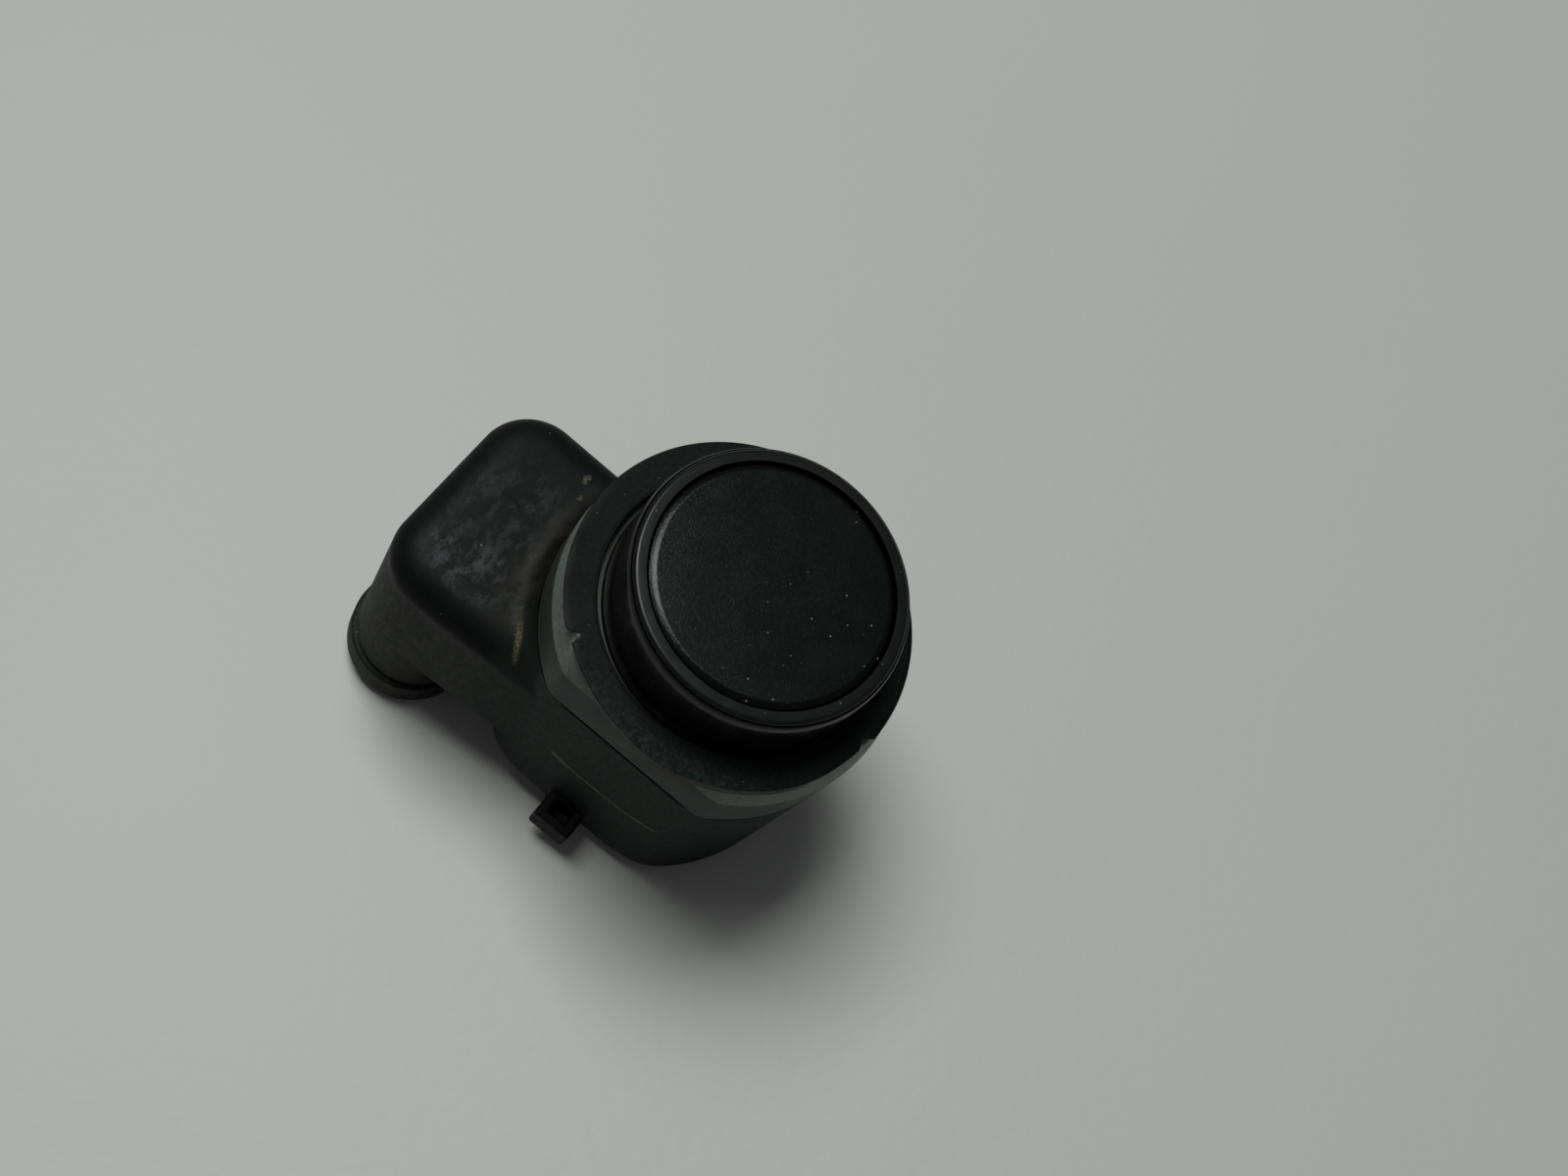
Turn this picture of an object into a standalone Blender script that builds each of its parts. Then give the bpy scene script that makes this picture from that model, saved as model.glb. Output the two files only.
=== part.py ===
# Ultrasonic parking sensor with a side arm and a connector socket that faces backwards.
#
# Frame: +Z is the sensing direction, along the axis of the round head.
# The origin is on that axis, in the plane of the seal disc's front face.
# The arm and its connector tube lie toward -X, the visible flat faces -Y.
# Sizes are in millimetres and turn into metres where meshes are made.

from math import asin, cos, degrees, pi, radians, sin, sqrt

import bmesh
import bpy
from mathutils import Matrix, Vector

MM = 0.001

# Head: the neck sets the size, and what sits in it follows inwards
NECK_R = 9.00
FACE_Z = 5.40
LIP_BELOW = 0.30
LIP_WALL = 0.16
LIP_EDGE = 0.11
RING_GAP = 0.19
RING_WIDTH = 0.73
RING_STEP = 0.32
RING_STEP_BELOW = 0.80
RING_BODY_GAP = 0.13
RING_SHELF_GAP = 0.15
RING_DEPTH = 6.60
GROOVE = 0.20
RING_EDGE = 0.10
HEAD_SEGMENTS = 88
MEMBRANE_SINK = 0.03
MEMBRANE_ROUND = 0.57
CUP_WALL = 0.95
CUP_FLOOR = 0.80
FLANGE_GAP = 0.15
FLANGE_THICK = 0.65
FLANGE_BORE_GAP = 0.16

LIP_Z = FACE_Z - LIP_BELOW
NECK_LIP_IN_R = NECK_R - LIP_WALL
RING_OUT_R = NECK_LIP_IN_R - RING_GAP
RING_BODY_R = RING_OUT_R - RING_STEP
NECK_BORE_R = RING_BODY_R + RING_BODY_GAP
RING_IN_R = RING_OUT_R - RING_WIDTH
RING_BACK_Z = FACE_Z - RING_DEPTH
RING_STEP_Z = LIP_Z - RING_STEP_BELOW
NECK_SHELF_Z = RING_STEP_Z - RING_SHELF_GAP
CUP_R = RING_IN_R - GROOVE
CUP_FACE_Z = FACE_Z - MEMBRANE_SINK
MEMBRANE_FLAT_R = CUP_R - MEMBRANE_ROUND
CUP_FLANGE_R = NECK_BORE_R - FLANGE_BORE_GAP
FLANGE_FRONT_Z = RING_BACK_Z - FLANGE_GAP
CUP_BACK_Z = FLANGE_FRONT_Z - FLANGE_THICK
CUP_IN_R = CUP_R - CUP_WALL
CUP_FLOOR_Z = CUP_FACE_Z - CUP_FLOOR

# Barrel and cap collar share one outline
BODY_STEP = 2.73
FLAT_DEPTH = 1.67
BARREL_LONG = 16.45
BARREL_DRAFT = 0.13
BACK_FLAT_ROUND = 0.40
BARREL_WALL = 1.72
BACK_ROUND_IN = 1.10
BACK_ROUND_LONG = 1.30
SEAM = 0.10
SEAM_EDGE = 0.10
RIDGE_IN = 0.02
RIDGE_FLAT_IN = 0.06
CHAMFER_IN = 0.58
CHAMFER_LONG = 1.85
BAND_LONG = 3.80
SPIGOT_GAP = 0.16
SPIGOT_LONG = 1.50
SPIGOT_WALL = 0.69

# Seal disc: it overhangs the cap's top and has two slightly different radii
DISC_THICK = 0.75
DISC_SEAT_GAP = 0.10
DISC_OVERHANG = 0.28
DISC_STEP = 0.16
DISC_HOLE_GAP = 0.26
DISC_OFF_X = -0.175
DISC_OFF_Y = -0.116
DISC_EDGE = 0.10
DISC_HOLE_EDGE = 0.14
DISC_LARGE_FROM = -3.0
DISC_LARGE_TO = 228.2
NOTCH_DEPTH = 0.62
NOTCH_SHALLOW = 0.45
NOTCH_WIDE = 5.1
NOTCH_NARROW_WIDE = 8.1
DISC_ARC_STEP = 3.9

BODY_R = NECK_R + BODY_STEP
BODY_FLAT = BODY_R - FLAT_DEPTH
CAP_TOP_Z = -(DISC_THICK + DISC_SEAT_GAP)
RIDGE_Z = CAP_TOP_Z - CHAMFER_LONG
CAP_BACK_Z = RIDGE_Z - BAND_LONG
RIDGE_R = BODY_R - RIDGE_IN
RIDGE_FLAT = BODY_FLAT - RIDGE_FLAT_IN
CAP_TOP_R = RIDGE_R - CHAMFER_IN
CAP_TOP_FLAT = RIDGE_FLAT - CHAMFER_IN
DISC_R_LARGE = CAP_TOP_R + DISC_OVERHANG
DISC_R_SMALL = DISC_R_LARGE - DISC_STEP
DISC_HOLE_R = NECK_R + DISC_HOLE_GAP
BARREL_FRONT_Z = CAP_BACK_Z - SEAM
BARREL_BACK_Z = BARREL_FRONT_Z - BARREL_LONG
BARREL_BACK_R = BODY_R - BARREL_DRAFT
BARREL_BACK_FLAT = BODY_FLAT - BARREL_DRAFT
BORE_R = BODY_R - BARREL_WALL
BORE_FLAT = BODY_FLAT - BARREL_WALL
SPIGOT_R = BORE_R - SPIGOT_GAP
SPIGOT_FLAT = BORE_FLAT - SPIGOT_GAP
SPIGOT_BACK_Z = CAP_BACK_Z - SPIGOT_LONG
CAP_BORE_R = SPIGOT_R - SPIGOT_WALL
CAP_BORE_FLAT = SPIGOT_FLAT - SPIGOT_WALL

# Connector tube: its place sets the arm's end and long sides
TUBE_AWAY = 0.47
ARM_LEAN = 0.37
TUBE_R = 4.10
TUBE_STRAIGHT = 8.35
TUBE_PAST = 3.75
TUBE_DRAFT = 0.07
TUBE_WALL = 0.95
LIP_GROOVE = 0.10
LIP_GROOVE_LONG = 0.22
RIM_OUT = 0.33
RIM_LONG = 3.00
RIM_FRONT_ROUND = 0.16
RIM_BACK_ROUND = 0.30
SOCKET_DEPTH = 10.60
SOCKET_DRAFT = 0.08
SOCKET_FLARE = 0.35
SOCKET_FLOOR_THICK = 1.00

ARM_Y_LOW_FRONT = -BARREL_BACK_FLAT
ARM_Y_LOW_BACK = ARM_Y_LOW_FRONT - ARM_LEAN
TUBE_X = -(BODY_R + TUBE_AWAY + TUBE_R)
TUBE_Y_LOW = ARM_Y_LOW_BACK + TUBE_R
TUBE_Y_HIGH = TUBE_Y_LOW + TUBE_STRAIGHT
TUBE_BACK_Z = BARREL_BACK_Z - TUBE_PAST
TUBE_LIP_R = TUBE_R + TUBE_DRAFT
TUBE_LIP_Z = TUBE_BACK_Z + RIM_LONG
TUBE_RIM_R = TUBE_LIP_R + RIM_OUT
SOCKET_R = TUBE_R - TUBE_WALL
SOCKET_FLOOR_Z = TUBE_BACK_Z + SOCKET_DEPTH

# Arm: its side wall leans out a little toward the back and melts into the flat
ARM_SET_BACK = 1.50
ARM_DEEP = 10.20
ARM_ROUND_IN = 2.60
ARM_ROUND_DOWN = 2.00
ARM_CORNER = 3.85
ARM_CORNER_LEAST = 1.25
ARM_CORNER_LOSS = 0.85
ARM_WALL = 1.80
ARM_REACH_IN = 6.73
MERGE_LONG = 9.00
MERGE_IN = 0.55
COVE_OUT = 1.45
COVE_BELOW = 0.35
COVE_ROOT = 0.80
COVE_END = 0.40
COVE_FLAT_END = 1.00

ARM_END_X = TUBE_X - TUBE_R
ARM_IN_X = ARM_REACH_IN - BODY_R
ARM_Y_HIGH = TUBE_Y_HIGH + TUBE_R
ARM_FRONT_Z = BARREL_FRONT_Z - ARM_SET_BACK
ARM_BACK_Z = ARM_FRONT_Z - ARM_DEEP
COVE_TOP_Z = BARREL_FRONT_Z - COVE_BELOW

# Locking tabs at the back edge of both flats
TAB_X_LOW = -1.60
TAB_WIDE = 2.95
TAB_OUT = 2.05
TAB_ROOT = 0.80
TAB_FRONT_LONG = 2.45
TAB_BACK_IN = 0.05
TAB_WALL = 0.70
TAB_POCKET = 1.50
TAB_POCKET_IN = 0.35
TAB_EDGE = 0.22

TAB_X_HIGH = TAB_X_LOW + TAB_WIDE
TAB_FRONT_Z = BARREL_BACK_Z + TAB_FRONT_LONG
TAB_BACK_Z = BARREL_BACK_Z + TAB_BACK_IN

# Transducer stack inside the cup
PIEZO_R = 3.50
PIEZO_THICK = 0.30
PIEZO_GLUE = 0.10
FILL_SIDE_GAP = 0.12
FILL_WELL_R = 2.40
FOAM_BELOW = 0.87
FOAM_THICK = 2.10
FOAM_GAP = 0.12
BACKFILL_IN = 0.30
LEAD_X = 1.55
LEAD_R = 0.13
LEAD_GAP = 0.10
LEAD_BOW = 0.40
TERMINAL_BELOW = 0.30

PIEZO_BACK_Z = CUP_FLOOR_Z - PIEZO_GLUE - PIEZO_THICK
FOAM_FRONT_Z = CUP_FLOOR_Z - FOAM_BELOW
FOAM_BACK_Z = FOAM_FRONT_Z - FOAM_THICK
FILL_R = CUP_IN_R - FILL_SIDE_GAP
BACKFILL_FRONT_Z = FOAM_BACK_Z - FOAM_GAP
BACKFILL_BACK_Z = CUP_BACK_Z + BACKFILL_IN
TERMINAL_Z = CUP_BACK_Z - TERMINAL_BELOW

# Pin carrier, held in the cap's bore just behind the cup
CARRIER_BELOW = 0.90
CARRIER_THICK = 1.70
CARRIER_SIDE_GAP = 0.15
CARRIER_STOP_GAP = 0.30

CARRIER_FRONT_Z = CUP_BACK_Z - CARRIER_BELOW
CARRIER_BACK_Z = CARRIER_FRONT_Z - CARRIER_THICK
CAP_STEP_Z = CARRIER_FRONT_Z + CARRIER_STOP_GAP

# Board and what it carries
PIN_SIZE = 0.64
PIN_PITCH = 3.30
PIN_HOLE_GAP = 0.12
PIN_STANDS = 0.45
PIN_PAST_BOARD = 0.50
PIN_RUN_BELOW = 1.70
PIN_TIP_IN = 4.65
PIN_TIP_EDGE = 0.16
STUB_IN = 1.05
BOARD_BELOW = 1.20
BOARD_THICK = 1.00
BOARD_SIDE_GAP = 2.34
BOARD_CORNER_GAP = 0.33
PART_GAP = 0.12
CHIP_PIN_GAP = 0.71
CHIP_EDGE = 1.00
CHIP_WIDE = 5.20
CHIP_THICK = 0.88
CORE_PIN_GAP = 0.41
CORE_EDGE = 0.70
CORE_WIDE = 6.20
CORE_TALL = 5.60
CORE_PLATE = 0.90
CORE_LEG = 0.65
CORE_POST_R = 0.90
WINDING_GAP = 0.15
WINDING_THICK = 1.15
CAN_R = 1.45
CAN_TALL = 4.20
CAN_IN_X = 4.60
CAN_IN_Y = 2.10

BOARD_TOP_Z = SPIGOT_BACK_Z - BOARD_BELOW
BOARD_UNDER_Z = BOARD_TOP_Z - BOARD_THICK
BOARD_Y = BORE_FLAT - BOARD_SIDE_GAP
BOARD_X = sqrt((BORE_R - BOARD_CORNER_GAP) ** 2 - BOARD_Y ** 2)
STUB_X = -(BOARD_X - STUB_IN)
LEAD_SIDE_X = LEAD_X + PIN_SIZE / 2
CHIP_X_LOW = LEAD_SIDE_X + CHIP_PIN_GAP
CHIP_X_HIGH = BOARD_X - CHIP_EDGE
CORE_X_LOW = LEAD_SIDE_X + CORE_PIN_GAP
CORE_X_HIGH = BOARD_X - CORE_EDGE
CAN_X = CAN_IN_X - BOARD_X
CAN_Y = BOARD_Y - CAN_IN_Y
PIN_RUN_Z = BOARD_UNDER_Z - PIN_RUN_BELOW
PIN_TIP_Z = TUBE_BACK_Z + PIN_TIP_IN
HANG_Z = BOARD_UNDER_Z - PART_GAP

# Potting that closes the barrel's back
POTTING_IN = 0.60
POTTING_THICK = 2.85
POTTING_GAP = 0.14

POTTING_BACK_Z = BARREL_BACK_Z + POTTING_IN
POTTING_FRONT_Z = POTTING_BACK_Z + POTTING_THICK

# Cutters run on this far past the face they leave through
PAST = 1.00
# Joined shapes and meeting cutters reach this far into each other
LAP = 0.20
# Merging distance of the turned shapes, in metres
WELD = 0.00001


def clear_scene():
    for ob in list(bpy.data.objects):
        bpy.data.objects.remove(ob, do_unlink=True)


def new_collection(name):
    col = bpy.data.collections.new(name)
    bpy.context.scene.collection.children.link(col)
    return col


def new_root(name, where):
    root = bpy.data.objects.new(name, None)
    where.objects.link(root)
    return root


def material_of(name):
    if name in bpy.data.materials:
        return bpy.data.materials[name]
    colour, roughness, metallic = LOOKS[name]
    mat = bpy.data.materials.new(name)
    mat.use_nodes = True
    shader = mat.node_tree.nodes["Principled BSDF"]
    shader.inputs["Base Color"].default_value = (*colour, 1.0)
    shader.inputs["Roughness"].default_value = roughness
    shader.inputs["Metallic"].default_value = metallic
    mat.diffuse_color = (*colour, 1.0)
    return mat


def place(name, mesh, where, location=(0.0, 0.0, 0.0)):
    """Put a mesh in the scene: a piece under the root, or a cutter that isn't rendered."""
    ob = bpy.data.objects.new(name, mesh)
    ob.location = Vector(location) * MM
    where.objects.link(ob)
    mesh.polygons.foreach_set("use_smooth", [True] * len(mesh.polygons))
    mesh.set_sharp_from_angle(angle=radians(32))
    if where == PARTS:
        ob.parent = ROOT
        mesh.materials.append(material_of(name))
    else:
        ob.hide_render = True
        ob.display_type = "WIRE"
    return ob


def finished_mesh(name, bm):
    bmesh.ops.remove_doubles(bm, verts=bm.verts, dist=1e-7)
    bmesh.ops.recalc_face_normals(bm, faces=bm.faces)
    mesh = bpy.data.meshes.new(name)
    bm.to_mesh(mesh)
    bm.free()
    return mesh


def box(name, low, high, where):
    """A cube primitive between two corners, with its origin at its centre."""
    size = [(b - a) * MM for a, b in zip(low, high)]
    middle = [(a + b) / 2 for a, b in zip(low, high)]
    bm = bmesh.new()
    bmesh.ops.create_cube(bm, size=1.0, matrix=Matrix.Diagonal((*size, 1.0)))
    return place(name, finished_mesh(name, bm), where, middle)


def cylinder(name, radius, low_z, high_z, where, segments=48, centre=(0.0, 0.0)):
    bm = bmesh.new()
    bmesh.ops.create_cone(
        bm, cap_ends=True, segments=segments, radius1=radius * MM, radius2=radius * MM,
        depth=(high_z - low_z) * MM)
    return place(name, finished_mesh(name, bm), where, (*centre, (low_z + high_z) / 2))


def turned(name, profile, where, segments=48, centre=(0.0, 0.0)):
    """A (radius, z) profile turned about Z. It runs outwards, down the outer side and back in."""
    mesh = bpy.data.meshes.new(name)
    count = len(profile)
    touches = profile[0][0] == 0.0
    links = [(k, k + 1) for k in range(count - 1)]
    if not touches:
        links.append((count - 1, 0))
    mesh.from_pydata([(r * MM, 0.0, z * MM) for r, z in profile], links, [])
    ob = place(name, mesh, where, (*centre, 0.0))
    screw = ob.modifiers.new("turn", "SCREW")
    screw.axis = "Z"
    screw.angle = 2 * pi
    screw.steps = segments
    screw.render_steps = segments
    screw.use_merge_vertices = True
    screw.merge_threshold = WELD
    screw.use_smooth_shade = True
    return ob


def prism(name, outline, low, high, where, across=False):
    """A flat outline extruded along Z, or along X when it is given in (y, z)."""
    curve = bpy.data.curves.new(name, "CURVE")
    curve.dimensions = "2D"
    curve.fill_mode = "BOTH"
    curve.extrude = (high - low) / 2 * MM
    spline = curve.splines.new("POLY")
    spline.points.add(len(outline) - 1)
    for point, (u, v) in zip(spline.points, outline):
        point.co = (u * MM, v * MM, 0.0, 1.0)
    spline.use_cyclic_u = True
    guide = bpy.data.objects.new(name + "_outline", curve)
    CUTTERS.objects.link(guide)
    bpy.context.view_layer.update()
    mesh = bpy.data.meshes.new_from_object(guide.evaluated_get(bpy.context.evaluated_depsgraph_get()))
    bpy.data.objects.remove(guide, do_unlink=True)
    bm = bmesh.new()
    bm.from_mesh(mesh)
    bpy.data.meshes.remove(mesh)
    middle = (low + high) / 2
    if across:
        turn = Matrix(((0, 0, 1, 0), (1, 0, 0, 0), (0, 1, 0, 0), (0, 0, 0, 1)))
        bmesh.ops.transform(bm, matrix=turn, verts=bm.verts)
    location = (middle, 0.0, 0.0) if across else (0.0, 0.0, middle)
    return place(name, finished_mesh(name, bm), where, location)


def loft(name, rings, where):
    """Skin a stack of unlike outlines with equal point counts and close both ends."""
    bm = bmesh.new()
    rows = [[bm.verts.new(Vector(p) * MM) for p in ring] for ring in rings]
    count = len(rings[0])
    for lower, upper in zip(rows, rows[1:]):
        for i in range(count):
            j = (i + 1) % count
            bm.faces.new((lower[i], lower[j], upper[j], upper[i]))
    bm.faces.new(rows[0][::-1])
    bm.faces.new(rows[-1])
    return place(name, finished_mesh(name, bm), where)


def wire(name, points, radius):
    """A round wire along some points, closed at both ends."""
    curve = bpy.data.curves.new(name, "CURVE")
    curve.dimensions = "3D"
    curve.bevel_depth = radius * MM
    curve.bevel_resolution = 2
    curve.use_fill_caps = True
    spline = curve.splines.new("POLY")
    spline.points.add(len(points) - 1)
    for point, place_at in zip(spline.points, points):
        point.co = (*(Vector(place_at) * MM), 1.0)
    curve.materials.append(material_of(name))
    ob = bpy.data.objects.new(name, curve)
    ob.parent = ROOT
    PARTS.objects.link(ob)


def combine(target, tool, operation):
    mod = target.modifiers.new(operation.lower() + "_" + tool.name, "BOOLEAN")
    mod.operation = operation
    mod.solver = "EXACT"
    mod.object = tool


def soften(ob, width, segments=2):
    mod = ob.modifiers.new("soft_edges", "BEVEL")
    mod.width = width * MM
    mod.segments = segments
    mod.limit_method = "ANGLE"
    mod.angle_limit = radians(40)


def quarter(count):
    """Angles of a quarter turn in even steps."""
    return [radians(90.0 * k / count) for k in range(count + 1)]


def flatted(radius, flat, step=5.0):
    """A circle's outline cut by flats at +Y and -Y; a flat beyond the radius leaves it whole."""
    half = degrees(asin(min(1.0, flat / radius)))
    count = max(2, round(2 * half / step))
    outline = []
    for base in (-half, 180.0 - half):
        for k in range(count + 1):
            turn = radians(base + 2 * half * k / count)
            outline.append((radius * cos(turn), radius * sin(turn)))
    return outline


def flatted_prism(name, radius, flat, low_z, high_z, where):
    return prism(name, flatted(radius, flat), low_z, high_z, where)


def mirrored(half_outline):
    """Close a (y, z) outline given for +Y only with its mirror image."""
    return half_outline + [(-y, z) for y, z in reversed(half_outline)]


def make_barrel():
    """The round wall is turned; an extrusion with the same rounded back edge gives the flats."""
    front_out = BODY_R - SEAM_EDGE
    profile = [(0.0, BARREL_FRONT_Z), (front_out, BARREL_FRONT_Z), (BODY_R, BARREL_FRONT_Z - SEAM_EDGE)]
    for turn in quarter(4):
        profile.append((
            BARREL_BACK_R - BACK_ROUND_IN * (1 - cos(turn)),
            BARREL_BACK_Z + BACK_ROUND_LONG * (1 - sin(turn))))
    profile.append((0.0, BARREL_BACK_Z))
    barrel = turned("housing", profile, PARTS, 72)
    flats = [
        (BODY_FLAT - SEAM_EDGE, BARREL_FRONT_Z + PAST),
        (BODY_FLAT - SEAM_EDGE, BARREL_FRONT_Z),
        (BODY_FLAT, BARREL_FRONT_Z - SEAM_EDGE),
    ]
    for turn in quarter(3):
        flats.append((
            BARREL_BACK_FLAT - BACK_FLAT_ROUND * (1 - cos(turn)),
            BARREL_BACK_Z + BACK_ROUND_LONG * (1 - sin(turn))))
    flats.append((BARREL_BACK_FLAT - BACK_FLAT_ROUND, BARREL_BACK_Z - PAST))
    sides = prism("barrel_flats", mirrored(flats), -BODY_R - PAST, BODY_R + PAST, CUTTERS, True)
    combine(barrel, sides, "INTERSECT")
    return barrel


def rounded_box(x0, x1, y0, y1, radius, z, steps=8):
    """A rounded rectangle, counter-clockwise from its right side's lower corner."""
    ring = []
    for cx, cy, start in (
            (x1 - radius, y0 + radius, -90.0), (x1 - radius, y1 - radius, 0.0),
            (x0 + radius, y1 - radius, 90.0), (x0 + radius, y0 + radius, 180.0)):
        for k in range(steps + 1):
            turn = radians(start + 90.0 * k / steps)
            ring.append((cx + radius * cos(turn), cy + radius * sin(turn), z))
    return ring


def tube_oval(radius, z):
    return rounded_box(TUBE_X - radius, TUBE_X + radius, TUBE_Y_LOW - radius, TUBE_Y_HIGH + radius, radius, z)


def arm_outline(inset, y_low, corner, z):
    """An outline rounded at its free end, whose lower side bends in where it meets the barrel's flat."""
    steps = 8
    low = y_low + inset
    ring = []
    for k in range(steps + 1):
        share = k / steps
        ring.append((ARM_IN_X - MERGE_LONG * (1 - share), low + MERGE_IN * share ** 1.6, z))
    ring += [(ARM_IN_X, ARM_Y_HIGH - inset, z)] * (steps + 1)
    left = ARM_END_X + inset
    for cy, start in ((ARM_Y_HIGH - inset - corner, 90.0), (low + corner, 180.0)):
        for k in range(steps + 1):
            turn = radians(start + 90.0 * k / steps)
            ring.append((left + corner + corner * cos(turn), cy + corner * sin(turn), z))
    return ring


def make_arm_and_tube():
    """One stack from the arm's rounded front to the connector's rim."""
    rings = []
    for turn in quarter(7):
        inset = ARM_ROUND_IN * (1 - sin(turn))
        z = ARM_FRONT_Z - ARM_ROUND_DOWN * (1 - cos(turn))
        corner = max(ARM_CORNER_LEAST, ARM_CORNER - ARM_CORNER_LOSS * inset)
        rings.append(arm_outline(inset, ARM_Y_LOW_FRONT, corner, z))
    rings.append(arm_outline(0.0, ARM_Y_LOW_BACK, TUBE_R, ARM_BACK_Z))
    rings.append(tube_oval(TUBE_R, ARM_BACK_Z))
    rings.append(tube_oval(TUBE_LIP_R, TUBE_LIP_Z))
    rings.append(tube_oval(TUBE_LIP_R - LIP_GROOVE, TUBE_LIP_Z - 0.25 * LIP_GROOVE_LONG))
    rings.append(tube_oval(TUBE_LIP_R - LIP_GROOVE, TUBE_LIP_Z - 0.70 * LIP_GROOVE_LONG))
    front = TUBE_LIP_Z - LIP_GROOVE_LONG
    for turn in quarter(2):
        rings.append(tube_oval(
            TUBE_RIM_R - RIM_FRONT_ROUND * (1 - sin(turn)), front - RIM_FRONT_ROUND * (1 - cos(turn))))
    for turn in quarter(2):
        rings.append(tube_oval(
            TUBE_RIM_R - RIM_BACK_ROUND * (1 - cos(turn)), TUBE_BACK_Z + RIM_BACK_ROUND * (1 - sin(turn))))
    return loft("arm_and_tube", rings, CUTTERS)


def arm_top(y):
    """Height of the arm's front surface, which rounds down at its two long sides."""
    gap = min(y - ARM_Y_LOW_FRONT, ARM_Y_HIGH - y)
    part = 1 - min(max(gap, 0.0), ARM_ROUND_IN) / ARM_ROUND_IN
    return ARM_FRONT_Z - ARM_ROUND_DOWN * (1 - sqrt(1 - part * part))


def make_cove():
    """Concave fillet where the arm's front surface runs up to the barrel wall."""
    rise = COVE_TOP_Z - ARM_FRONT_Z
    root = BODY_R - COVE_ROOT
    stations = 23
    start = 180.0 - degrees(asin((ARM_Y_HIGH - COVE_END) / BODY_R))
    stop = 180.0 + degrees(asin((-ARM_Y_LOW_FRONT - COVE_FLAT_END) / BODY_R))
    sections = []
    for k in range(stations):
        share = k / (stations - 1)
        turn = radians(start + (stop - start) * share)
        fade = min(1.0, 5.0 * share + 0.12, 5.0 * (1 - share) + 0.12)
        outer = BODY_R + COVE_OUT * fade
        base = arm_top(outer * sin(turn))
        top = min(base + rise * fade + (ARM_FRONT_Z - base) * 0.7 * fade, COVE_TOP_Z)
        below = base - 0.75 * COVE_ROOT
        section = [(root, below), (outer + 0.02, below)]
        for bend in quarter(6):
            section.append((outer - COVE_OUT * fade * sin(bend), base + (top - base) * (1 - cos(bend))))
        section.append((root, top))
        sections.append([(r * cos(turn), r * sin(turn), z) for r, z in section])
    return loft("cove", sections, CUTTERS)


def add_tab(housing, side):
    """A square locking tab at the barrel's back edge, with a pocket open toward the front."""
    name = "low" if side < 0 else "high"
    faces = [side * (BARREL_BACK_FLAT - TAB_ROOT), side * (BARREL_BACK_FLAT + TAB_OUT)]
    tab = box(
        "tab_" + name, (TAB_X_LOW, min(faces), TAB_BACK_Z), (TAB_X_HIGH, max(faces), TAB_FRONT_Z), CUTTERS)
    soften(tab, TAB_EDGE, 1)
    combine(housing, tab, "UNION")
    walls = [side * (BARREL_BACK_FLAT + TAB_POCKET_IN), side * (BARREL_BACK_FLAT + TAB_OUT - TAB_WALL)]
    pocket = box(
        "pocket_" + name,
        (TAB_X_LOW + TAB_WALL, min(walls), TAB_FRONT_Z - TAB_POCKET),
        (TAB_X_HIGH - TAB_WALL, max(walls), TAB_FRONT_Z + PAST), CUTTERS)
    combine(housing, pocket, "DIFFERENCE")


def pin_rows():
    middle = (TUBE_Y_LOW + TUBE_Y_HIGH) / 2
    return [middle - PIN_PITCH, middle, middle + PIN_PITCH]


def pin_hole(name, x, y, low_z, high_z):
    half = PIN_SIZE / 2 + PIN_HOLE_GAP
    return box(name, (x - half, y - half, low_z), (x + half, y + half, high_z), CUTTERS)


def make_housing():
    housing = make_barrel()
    combine(housing, make_arm_and_tube(), "UNION")
    combine(housing, make_cove(), "UNION")
    add_tab(housing, -1)
    add_tab(housing, 1)
    bore = flatted_prism("bore", BORE_R, BORE_FLAT, BARREL_BACK_Z - PAST, BARREL_FRONT_Z + PAST, CUTTERS)
    combine(housing, bore, "DIFFERENCE")
    room = box(
        "arm_room",
        (TUBE_X - SOCKET_R + SOCKET_FLARE, ARM_Y_LOW_FRONT + ARM_WALL, SOCKET_FLOOR_Z + SOCKET_FLOOR_THICK),
        (ARM_IN_X, ARM_Y_HIGH - ARM_WALL, ARM_FRONT_Z - ARM_WALL), CUTTERS)
    combine(housing, room, "DIFFERENCE")
    socket = loft("socket", [
        tube_oval(SOCKET_R + SOCKET_FLARE, TUBE_BACK_Z - PAST),
        tube_oval(SOCKET_R + SOCKET_FLARE, TUBE_BACK_Z),
        tube_oval(SOCKET_R, TUBE_BACK_Z + SOCKET_FLARE),
        tube_oval(SOCKET_R - SOCKET_DRAFT, SOCKET_FLOOR_Z)], CUTTERS)
    combine(housing, socket, "DIFFERENCE")
    floor_back = SOCKET_FLOOR_Z + SOCKET_FLOOR_THICK
    for letter, y in zip("abc", pin_rows()):
        hole = pin_hole("pin_hole_" + letter, TUBE_X, y, SOCKET_FLOOR_Z - PAST, floor_back + PAST)
        combine(housing, hole, "DIFFERENCE")


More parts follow.
